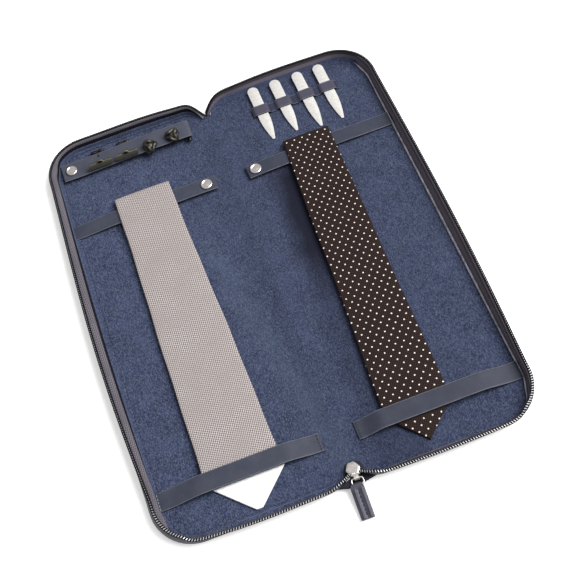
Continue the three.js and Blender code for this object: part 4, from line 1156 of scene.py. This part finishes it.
def stay_outline(length, half):
    """Round head, straight sides to 60% of the length, then a leaf-shaped taper down to a blunt point."""
    head = np.linspace(0, np.pi, 25)
    round_part = np.stack([half * np.cos(head), -half + half * np.sin(head)], -1)
    share = np.linspace(0, 1, 22)[:, None]
    nose = 1.6
    start, bend = np.array([-half, -0.6 * length]), np.array([-0.98 * half, -0.76 * length])
    curve = (1 - share) ** 2 * start + 2 * share * (1 - share) * bend + share**2 * np.array([-1.5, -length + nose])
    angle = np.linspace(np.pi * 1.08, np.pi * 1.92, 9)
    round_nose = np.stack([nose * np.cos(angle), -length + nose + nose * np.sin(angle)], -1)
    return np.concatenate([round_part, curve, round_nose, (curve * (-1, 1))[::-1]])


def collar_stay(node, head, tip):
    low, high = box_mm(node)
    way = np.subtract(head, tip)
    lean = math.atan2(-way[0], way[1])
    turn = np.array([[math.cos(lean), math.sin(lean)], [-math.sin(lean), math.cos(lean)]])
    outline = stay_outline(math.hypot(*way), (high[0] - low[0]) / 2) @ turn
    thick = high[2] - low[2]
    levels = [(0.25, 0), (0.02, 0.15), (0.0, thick - 0.3), (0.08, thick - 0.1), (0.3, thick)]
    rings = slab_rings(outline, levels) + (*head, low[2])
    rings[..., 2] += STAY_RISE * (rings[..., 1] - tip[1]) / way[1]
    plate = loft(node.replace("collar_", "") + "_plate", rings, STAY, crease=50.0)
    settle(plate, "stay_metal", node, node)


for place, (head, tip) in enumerate(STAY_ENDS, 1):
    collar_stay(f"collar_stay_{place}", head, tip)


# ---------------------------------------------------------------- cufflinks

# Degrees by which a cufflink leans in its slit: toggle towards +Y of it, head up
CUFFLINK_PITCH = -20.3
SECOND_KNOT_HEADING = -100.0
# From the toggle's turning line back to the slit of the strap
TOGGLE_REACH = 12.8


def put_on(rings, turn, place):
    return np.asarray(rings) @ turn.T + place


def cufflink_post(name, start, stop, steps, turn, hinge):
    path = np.array([[0, y, 0] for y in np.linspace(start, stop, steps)])
    rings = sweep_rings(path, (0, 0, 1), circle(0.8, 12))
    return loft(f"{name}_post", put_on(rings, turn, hinge), BLACKENED)


def bar_cufflink(name):
    """Bar with rounded ends, a bump with a slit where the post leaves it, drawn as a near-black plug of painted
    shade, its post and the arm of its toggle.
    """
    turn, hinge = turn_by(0.0, CUFFLINK_PITCH), joint_place(f"{name}_toggle_turn")
    head = hinge - turn @ np.array([0, TOGGLE_REACH + 9.6, 0.3])
    length, height, depth, rounding = 22.0, 5.8, 2.9, 0.7
    edge = length / 2 - rounding
    ends = [s * (edge + d) for s in (-1, 1) for d in (0.3, 0.55, 0.68, rounding)]
    x = np.unique(np.concatenate([np.linspace(-edge, edge, 31), ends]))
    past = np.maximum(np.abs(x) - edge, 0) / rounding
    fall = 1 - 0.24 * (1 - np.sqrt(np.maximum(1 - past**2, 0.0)))
    section = rounded_section(depth, height, 0.6)
    scaled = section[None] * np.stack([mix(0.55, 1, fall), fall], -1)[:, None]
    bump = 2.0 * np.sqrt(np.maximum(1 - (x / 3.4) ** 2, 0))
    rings = np.stack([
        np.broadcast_to(x[:, None], scaled.shape[:2]), scaled[..., 0],
        scaled[..., 1] + bump[:, None] * (scaled[..., 1] > 0),
    ], -1)
    bar = loft(f"{name}_bar", put_on(rings, turn, head), BAR_METAL)
    # The slit is a near-black plug through the bump: painted shade of its hole
    hole = circle(1, 24)
    rows = [
        np.column_stack([2.3 * hole[:, 0], np.full(24, y), 3.1 + 1.25 * hole[:, 1]])
        for y in (-0.6, -depth / 2 - 0.12)
    ]
    slit = loft(f"{name}_slit", put_on(np.array(rows), turn, head), SLIT_SHADE)
    post = cufflink_post(name, -9.0, -6.9, 6, turn, hinge)
    arm_path = np.array([turn @ np.array([0, -7.1, 0]), (0, -5.0, 2.55), (0, 0, 2.5), (0, 0, -0.6)])
    arm_rings = sweep_rings(resampled(arm_path, 0.4), (1, 0, 0), circle(0.55, 8))
    arm = loft(f"{name}_arm", arm_rings + hinge, BLACKENED)
    settle(bar, "dark_metal", "cufflink_strap", name)
    for piece in (slit, post, arm):
        settle(piece, "dark_metal", "cufflink_strap")


def knot_cufflink(name, heading, toggle_reach):
    """Ball of one cord that winds round itself: a Turk's head line on a sphere.

    Radius 5.1 + 0.75 cos(6 t + 0.9), longitude 2 t and latitude 0.85 sin(3 t), so that the cord passes over
    and under.
    """
    turn, hinge = turn_by(heading, CUFFLINK_PITCH), joint_place(f"{name}_toggle_turn")
    head = hinge - turn @ np.array([0, toggle_reach + 8.0, 0])
    t = np.linspace(0, 2 * np.pi, 240, endpoint=False)
    latitude = 0.85 * np.sin(3 * t)
    radius = 5.1 + 0.75 * np.cos(6 * t + 0.9)
    path = np.stack([
        radius * np.cos(latitude) * np.cos(2 * t), radius * np.cos(latitude) * np.sin(2 * t),
        radius * np.sin(latitude),
    ], -1) @ turn_by(36, 36).T
    rings = sweep_rings(path, unit(path), circle(1.75, 12), closed=True)
    cord = loft(f"{name}_cord", put_on(rings, turn, head), BLACKENED, closed=True)
    angle = np.linspace(-np.pi / 2, np.pi / 2, 14)
    ball = [
        np.column_stack([circle(max(4.0 * math.cos(a), 0.02), 24), np.full(24, 4.0 * math.sin(a))]) for a in angle
    ]
    core = loft(f"{name}_core", put_on(np.array(ball), turn, head), BLACKENED)
    post = cufflink_post(name, -toggle_reach * 0.6, 0, 12, turn, hinge)
    settle(cord, "dark_metal", "cufflink_strap", name)
    for piece in (core, post):
        settle(piece, "dark_metal", "cufflink_strap")


def cufflink_toggle(name, heading=0.0):
    """Torpedo bar across the end of the post, waisted in its middle."""
    x = np.linspace(-6.5, 6.5, 31)
    radius = 1.8 * np.sqrt(np.maximum(1 - (np.abs(x) / 6.52) ** 6, 0.002)) * (1 - 0.28 * np.exp(-((x / 1.4) ** 2)))
    rings = np.stack([np.column_stack([np.full(14, a), circle(r, 14)]) for a, r in zip(x, radius)])
    bar = loft(f"{name}_torpedo", put_on(rings, turn_by(heading), joint_place(f"{name}_toggle_turn")), DARK_TOGGLE)
    settle(bar, "dark_metal", f"{name}_toggle", f"{name}_toggle")


for name in ("bar_cufflink_1", "bar_cufflink_2"):
    bar_cufflink(name)
    cufflink_toggle(name)
knot_cufflink("knot_cufflink_1", 0.0, TOGGLE_REACH)
knot_cufflink("knot_cufflink_2", SECOND_KNOT_HEADING, 8.0)
cufflink_toggle("knot_cufflink_1")
cufflink_toggle("knot_cufflink_2", SECOND_KNOT_HEADING)


# ---------------------------------------------------------------- ties

def tie_body(name, path, half_widths, middle_x, material, wobble):
    """Soft folded ribbon along a (y, z) line: rounded edges, crowned middle, edges that wander a little.

    A section point (a, b) stands at x = middle + a, b off the line; b gains 0.35 (1 - (2 a / w)^2).
    """
    path = np.asarray(path, float)
    along = along_of(path)
    line = np.column_stack([middle_x, path[:, 0], path[:, 1]])
    tangent = unit(np.gradient(path, axis=0))
    up = np.column_stack([np.zeros(len(path)), -tangent[:, 1], tangent[:, 0]])
    corner = TIE_THICK / 2
    least = corner * 1.02
    rings = []
    for half in half_widths:
        section = rounded_section(2 * max(half, least), TIE_THICK, corner, 16, 4)
        section[:, 0] *= min(1.0, half / least)
        rings.append(section)
    rings = np.array(rings)
    crown = 0.35 * (1 - (rings[..., 0] / np.maximum(half_widths, 0.5)[:, None]) ** 2)
    rings[..., 1] += crown * np.sign(rings[..., 1]) * np.minimum(half_widths / 20, 1)[:, None]
    rings[..., 0] += wobble(along)[:, None] * np.sign(rings[..., 0])
    points = sweep_rings(line, up, rings)
    uv = np.stack([points[..., 0] - middle_x[:, None], np.broadcast_to(along[:, None], points.shape[:2])], -1)
    body = loft(name, points, material, uv=uv * METRES)
    return body


def folded_line(fold_y, strap_low, back_end, front):
    """(y, z) line of a tie folded over its strap: back layer, half turn, front layer sinking to its rest."""
    back_z = REST + TIE_THICK / 2 + 0.05
    over_z = OVER_TIE + STRAP_THICK + GAP + TIE_THICK / 2 + 0.1
    front_z = OVER_TIE + TIE_THICK / 2 + 0.1
    radius = (over_z - back_z) / 2
    turn_y = fold_y - radius - TIE_THICK / 2
    angle = np.linspace(-np.pi / 2, np.pi / 2, 18)
    fold = np.column_stack([turn_y + radius * np.cos(angle), back_z + radius * (1 + np.sin(angle))])
    slope = np.linspace(0, 1, 24)
    start = strap_low - 2.2
    sinking = np.column_stack([start - 40 * slope, mix(over_z, front_z, smooth(slope))])
    back = np.column_stack([np.linspace(back_end, turn_y - 1, 60), np.full(60, back_z)])
    return resampled(np.concatenate([back, fold, [[start + 4, over_z]], sinking, front(front_z)]), 1.6)


def tie_widths(line, fold_y, point_y, tie):
    """X of the middle, half the width, and the share of the narrow back blade, along a tie's line.

    The share is 0 on the front and at the fold, and 1 on the back from 25 mm below the fold.
    """
    share = np.clip((fold_y - line[:, 0]) / (fold_y - point_y), 0, 1)
    turn = int(np.argmax(line[:, 0]))
    back = smooth((line[turn, 0] - line[:, 0]) / 25)
    back[turn:] = 0
    middle = mix(tie["fold_x"], tie["foot_x"], share)
    return middle, mix(tie["fold_width"], tie["foot_width"], share) / 2, back


# How much narrower the back blade is on either side, and how far it runs past its foot strap
BACK_NARROWER = 5
BACK_PAST_STRAP = 9
# (x, y) of the lower corner of the right tie strap at its outer end, where the strap's slant starts
RIGHT_STRAP_LOW = (154, 106)


def grey_tie():
    low, high = box_mm("grey_tie")
    strap_low = box_mm("left_tie_strap")[0][1]
    back_end = box_mm("left_foot_strap")[1][1] + BACK_PAST_STRAP
    line = folded_line(high[1], strap_low, back_end, lambda z: [[low[1] + 1, z]])
    middle, half, back = tie_widths(line, high[1], box_mm("grey_tie_white_point")[0][1], TIES["left"])
    tie = tie_body(
        "grey_tie_silk", line, half - BACK_NARROWER * back, middle, GREY_SILK,
        lambda s: 0.35 * np.sin(s / 31) + 0.2 * np.sin(s / 11),
    )
    settle(tie, "grey_silk", "left_half", "grey_tie")


def white_point():
    low, high = box_mm("grey_tie_white_point")
    y = np.linspace(high[1], low[1], 50)
    blunt, middle_x = 2.6, -77.0
    half = np.clip(y - low[1], 0, (high[0] - low[0]) / 2) + blunt
    line = np.column_stack([y, np.full(50, REST + 1.0)])
    point = tie_body("white_tie_point", line, half, np.full(50, middle_x), WHITE_SATIN, lambda s: 0.0 * s)
    settle(point, "white_satin", "left_half", "grey_tie_white_point")


def dot_tie():
    low, high = box_mm("pin_dot_tie")
    fold_y, point_y = high[1], low[1]
    strap_top = box_mm("right_foot_strap")[1][1]
    strap_low = RIGHT_STRAP_LOW[1] - (RIGHT_STRAP_LOW[0] - TIES["right"]["fold_x"]) * RIGHT_STRAP_SKEW

    def front(z):
        share = np.linspace(0, 1, 40)
        return np.column_stack([mix(strap_top, point_y, share), mix(z, REST + TIE_THICK / 2, smooth(share))])

    line = folded_line(fold_y, strap_low, strap_top + BACK_PAST_STRAP, front)
    middle, half, back = tie_widths(line, fold_y, point_y, TIES["right"])
    length = along_of(line)
    pointed = np.minimum(half, np.maximum(line[:, 0] - point_y, 0.6))
    half = np.where(length > length[-1] * 0.5, pointed, half - BACK_NARROWER * back)
    tie = tie_body("pin_dot_tie_silk", line, half, middle, BROWN_SILK, lambda s: 0.3 * np.sin(s / 27 + 1))
    settle(tie, "brown_silk", "right_half", "pin_dot_tie")


grey_tie()
white_point()
dot_tie()


# ---------------------------------------------------------------- zip end, slider and puller

# Folds of the tape end as corners (x, y), counter-clockwise
END_FOLDS = {
    "tongue": ((-6, -198), (-6, -204.8), (-3.5, -206.4), (0.8, -206.4), (3.4, -204.6), (3.4, -198)),
    "fold_left": (
        (-17, -202.3), (-14.6, -203.2), (-11.6, -204.0), (-7.8, -205.4), (-4.6, -203.6), (-3.4, -198),
        (-8, -199.5), (-13, -200.8),
    ),
    "fold_right": (
        (1.6, -198.4), (2.2, -203.6), (4.6, -204.4), (8, -203.8), (13, -203.0), (17, -202.2), (17, -200.6),
        (12, -198.6), (7, -196.8),
    ),
}
END_LEVELS = {
    "tongue": ((0.4, 1.2), (0.0, 1.6), (0.0, 3.2), (0.4, 3.6)),
    "fold_left": ((0.5, 3.2), (0.0, 3.9), (0.0, 5.2), (0.6, 6.0)),
    "fold_right": ((0.5, 3.2), (0.0, 3.9), (0.0, 5.2), (0.6, 6.0)),
}
SLIDER_SHIELD = (
    (-4.7, -4.6), (-2.4, -5.9), (2.4, -5.9), (4.7, -4.6), (4.9, 1.5), (2.6, 5.6), (-2.6, 5.6), (-4.9, 1.5),
)
LUG_REACH = 7.4


def rounded_outline(corners, radius, steps=6):
    """Outline with each corner of a counter-clockwise polygon rounded by a quadratic curve."""
    corners = np.asarray(corners, float)
    before, after = np.roll(corners, 1, 0), np.roll(corners, -1, 0)
    start = corners + radius * unit(before - corners)
    stop = corners + radius * unit(after - corners)
    share = np.linspace(0, 1, steps)[None, :, None]
    first, second, third = (points[:, None] for points in (start, corners, stop))
    curve = (1 - share) ** 2 * first + 2 * share * (1 - share) * second + share**2 * third
    return curve.reshape(-1, 2)


def rectangle(low_x, low_y, high_x, high_y):
    return (low_x, low_y), (high_x, low_y), (high_x, high_y), (low_x, high_y)


def slider():
    """Two plates with a post between them, the arm and lug of the puller, and the six-sided cap."""
    low, high = box_mm("slider_body")
    cap_low, cap_high = box_mm("slider_cap")
    x, y, _ = middle_of("slider_cap")
    base, top = low[2], high[2]
    place = (x, y, 0)
    shield = rounded_outline(SLIDER_SHIELD, 1.0)
    plates = []
    for word, z in (("lower", base), ("upper", top - 1.1)):
        levels = [(0.25, z), (0.0, z + 0.25), (0.0, z + 0.8), (0.3, z + 1.1)]
        plates.append(slab(f"slider_{word}_plate", shield, levels, SLIDER_METAL, place))
    post = rounded_outline(rectangle(-1.3, -2.7, 1.3, 2.7), 0.5)
    post = slab("slider_post", post, [(0, base + 1.0), (0, top - 1.0)], SLIDER_METAL, place)
    lug_z = joint_place("puller_swing")[2]
    path = resampled([[x - 2.0, y - LUG_REACH, lug_z], [x + 2.0, y - LUG_REACH, lug_z]], 0.5)
    lug = loft("slider_lug", sweep_rings(path, (0, 0, 1), circle(2.0, 20)), SLIDER_METAL)
    arm = slab(
        "slider_arm", rounded_outline(rectangle(-1.9, -LUG_REACH, 1.9, -4), 0.4),
        [(0.1, top - 1.0), (0, top - 0.8), (0, top - 0.3), (0.1, top - 0.1)], SLIDER_METAL, place,
    )
    hexagon = rounded_outline(6.0 * circle(1, 6), 1.1)
    cap = slab("slider_hex_cap", hexagon, [
        (0.15, cap_low[2]), (0, cap_low[2] + 0.2), (0, cap_high[2] - 0.55), (0.35, cap_high[2] - 0.2),
        (1.0, cap_high[2]), (1.5, cap_high[2] + 0.02),
    ], NICKEL, place, 30.0)
    settle(plates[0], "zip_metal", "slider", "slider_body")
    for piece in (plates[1], post, lug, arm):
        settle(piece, "zip_metal", "slider")
    settle(cap, "bright_metal", "slider", "slider_cap")


def zip_end():
    """Tape end under the slider, with dark folds of tape on either side of the puller's neck and a curl below,
    whose dark rim past the cap is partly painted shade.
    """
    low, high = box_mm("zip_end_tab")
    x, y, _ = middle_of("zip_end_tab")
    outline = rounded_outline(rectangle(low[0] - x, low[1] - y, high[0] - x, high[1] - y), 1.5)
    levels = [(0.1, low[2]), (0, low[2] + 0.15), (0, high[2] - 0.15), (0.1, high[2])]
    settle(slab("zip_end_tape", outline, levels, DARK_TAPE, (x, y, 0)), "zip_tape", "spine", "zip_end_tab")
    for name, corners in END_FOLDS.items():
        fold = slab(f"zip_end_{name}", rounded_outline(corners, 0.8), END_LEVELS[name], DARK_TAPE)
        settle(fold, "zip_tape", "slider")
    # The curl is dark tape that reaches past the cap to fill the shade beside it: partly painted shade
    x, y, _ = middle_of("slider_cap") + (0.9, 1.3, 0)
    levels = [(0.4, 3.3), (0.0, 3.6), (0.1, 4.4), (0.7, 4.9)]
    curl = slab("zip_end_curl", circle(1, 24) * (7.9, 7.0), levels, DARK_TAPE, (x, y, 0))
    settle(curl, "zip_tape", "slider")


PULLER_X = -1.9
PULLER_DROP = 9.5
# Y of the puller's leather from its nose to its end, and of the eye in its nose
PULLER_START, PULLER_EYE, PULLER_END = -3.25, -5.2, -32.2


def rounded_lobe(wave):
    return np.sign(wave) * np.abs(wave) ** 0.5


def puller():
    """Wire ring through the lug, and a leather tab with two ridges and a seam between them."""
    pivot = joint_place("puller_swing")
    turn = turn_by(-1.5, PULLER_DROP)
    cosine, sine = circle(1, 60).T
    wire = np.stack([4.6 * rounded_lobe(cosine), -2.6 + 2.6 * rounded_lobe(sine), np.zeros(60)], -1)
    rings = sweep_rings(wire, (0, 0, 1), circle(0.8, 12), closed=True)
    ring = loft("puller_wire", put_on(rings, turn, pivot), SLIDER_METAL, closed=True)
    settle(ring, "bright_metal", "puller", "puller_ring")
    y = resampled([[PULLER_START, 0.0], [PULLER_END, 0.0]], 0.4)[:, 0]
    width = mix(6.4, 11.0, np.sqrt(1 - (1 - np.clip((PULLER_START - y) / 5.0, 0, 1)) ** 2))
    nose = np.sqrt(1 - np.clip((y - PULLER_EYE) / 2.0, 0, 1) ** 2)
    height = mix(4.0, 2.9, smooth((PULLER_EYE - y) / 5.0)) * nose
    a = np.linspace(-1, 1, 33)
    ridge = np.exp(-(((np.abs(a) - 0.52) / 0.17) ** 2)) * 0.75 - 0.35 * np.exp(-((a / 0.12) ** 2))
    edge = np.sqrt(1 - np.clip((np.abs(a) - 0.9) / 0.1, 0, 1) ** 2 * 0.98)
    fade = smooth((-y - 7.0) / 3.0) * smooth((y - y[-1]) / 1.2)
    end = np.sqrt(np.maximum(1 - np.clip(1 - (y - y[-1]) / 0.6, 0, 1) ** 2 * 0.9, 0.0))
    flat = (height[:, None] / 2) * edge[None] * end[:, None]
    top = flat + ridge[None] * fade[:, None] * edge[None]
    x = a[None] * width[:, None] / 2 + PULLER_X
    ring_x = np.concatenate([x, x[:, ::-1]], 1)
    ring_z = np.concatenate([top, -flat[:, ::-1]], 1)
    rings = np.stack([ring_x, np.broadcast_to(y[:, None], ring_x.shape), ring_z], -1)
    settle(loft("puller_leather", put_on(rings, turn, pivot), PULLER), "leather", "puller", "puller_tab")
    seam_path = np.stack([np.full(30, PULLER_X), np.linspace(-10.5, -31, 30), np.full(30, 1.25)], -1)
    seam = stitches("puller_stitches", put_on(seam_path, turn, pivot), 2.2, 1.1, STITCH, 1.6)
    settle(seam, "leather", "puller")


slider()
zip_end()
puller()


# ---------------------------------------------------------------- floor, light and camera

def stage_material():
    """White floor that keeps the shadows.

    What the camera sees of it is lifted, more so far away, so that only deep shadow shows.
    """
    material, n, shader = new_material("Pale floor", 0.9, specular=0.1)
    rays = n.add("LightPath").outputs
    seen = n.math("ADD", n.math("ADD", rays["Is Camera Ray"], rays["Is Glossy Ray"]), rays["Is Transmission Ray"])
    lift = n.span(n.vector("LENGTH", n.object_place()), 1.0, 3.0, 0.36, 0.6)
    n.put_all(
        shader, Base_Color=(0.93, 0.92, 0.91, 1),
        Emission_Color=(1, 1, 1, 1), Emission_Strength=n.product(seen, lift),
    )
    return material


def floor():
    half, level = 40, -0.0002
    mesh = bpy.data.meshes.new("floor")
    corners = [(*corner, level) for corner in rectangle(-half, -half, half, half)]
    mesh.from_pydata(corners, [], [(0, 1, 2, 3)])
    mesh.materials.append(stage_material())
    linked_object("floor", mesh)


def key_light():
    """Disk above the right side of the case that looks at its middle, a little warm."""
    data = bpy.data.lights.new("key", "AREA")
    data.shape = "DISK"
    data.size = 2.1
    data.energy = 134
    data.color = (1.0, 0.985, 0.965)
    light = linked_object("key", data)
    light.location = (1.6, -0.3, 2.2)
    light.rotation_euler = (-Vector(light.location)).to_track_quat("-Z", "Y").to_euler()


def studio():
    world = bpy.data.worlds.new("studio")
    world.use_nodes = True
    background = world.node_tree.nodes["Background"]
    background.inputs["Color"].default_value = (1, 1, 1, 1)
    background.inputs["Strength"].default_value = 0.5
    bpy.context.scene.world = world
    bpy.context.scene.view_settings.view_transform = "Standard"


def camera():
    """Camera of the photo, with a focal length of 1150 px in a picture of 576 px."""
    azimuth, elevation, roll = -6.96 * DEGREE, 58.96 * DEGREE, -14.25 * DEGREE
    back = np.array([
        math.sin(azimuth) * math.cos(elevation), -math.cos(azimuth) * math.cos(elevation), math.sin(elevation),
    ])
    right = unit(np.cross((0, 0, 1), back))
    up = np.cross(back, right)
    matrix = np.eye(4)
    matrix[:3, 0] = math.cos(roll) * right + math.sin(roll) * up
    matrix[:3, 1] = -math.sin(roll) * right + math.cos(roll) * up
    matrix[:3, 2] = back
    matrix[:3, 3] = np.array([-53.75, -516.97, 837.72]) * METRES
    data = bpy.data.cameras.new("camera")
    data.lens = 36 * 1150 / 576
    data.sensor_width = 36
    made = linked_object("camera", data)
    made.matrix_world = Matrix(matrix.tolist())
    bpy.context.scene.camera = made


floor()
key_light()
studio()
camera()
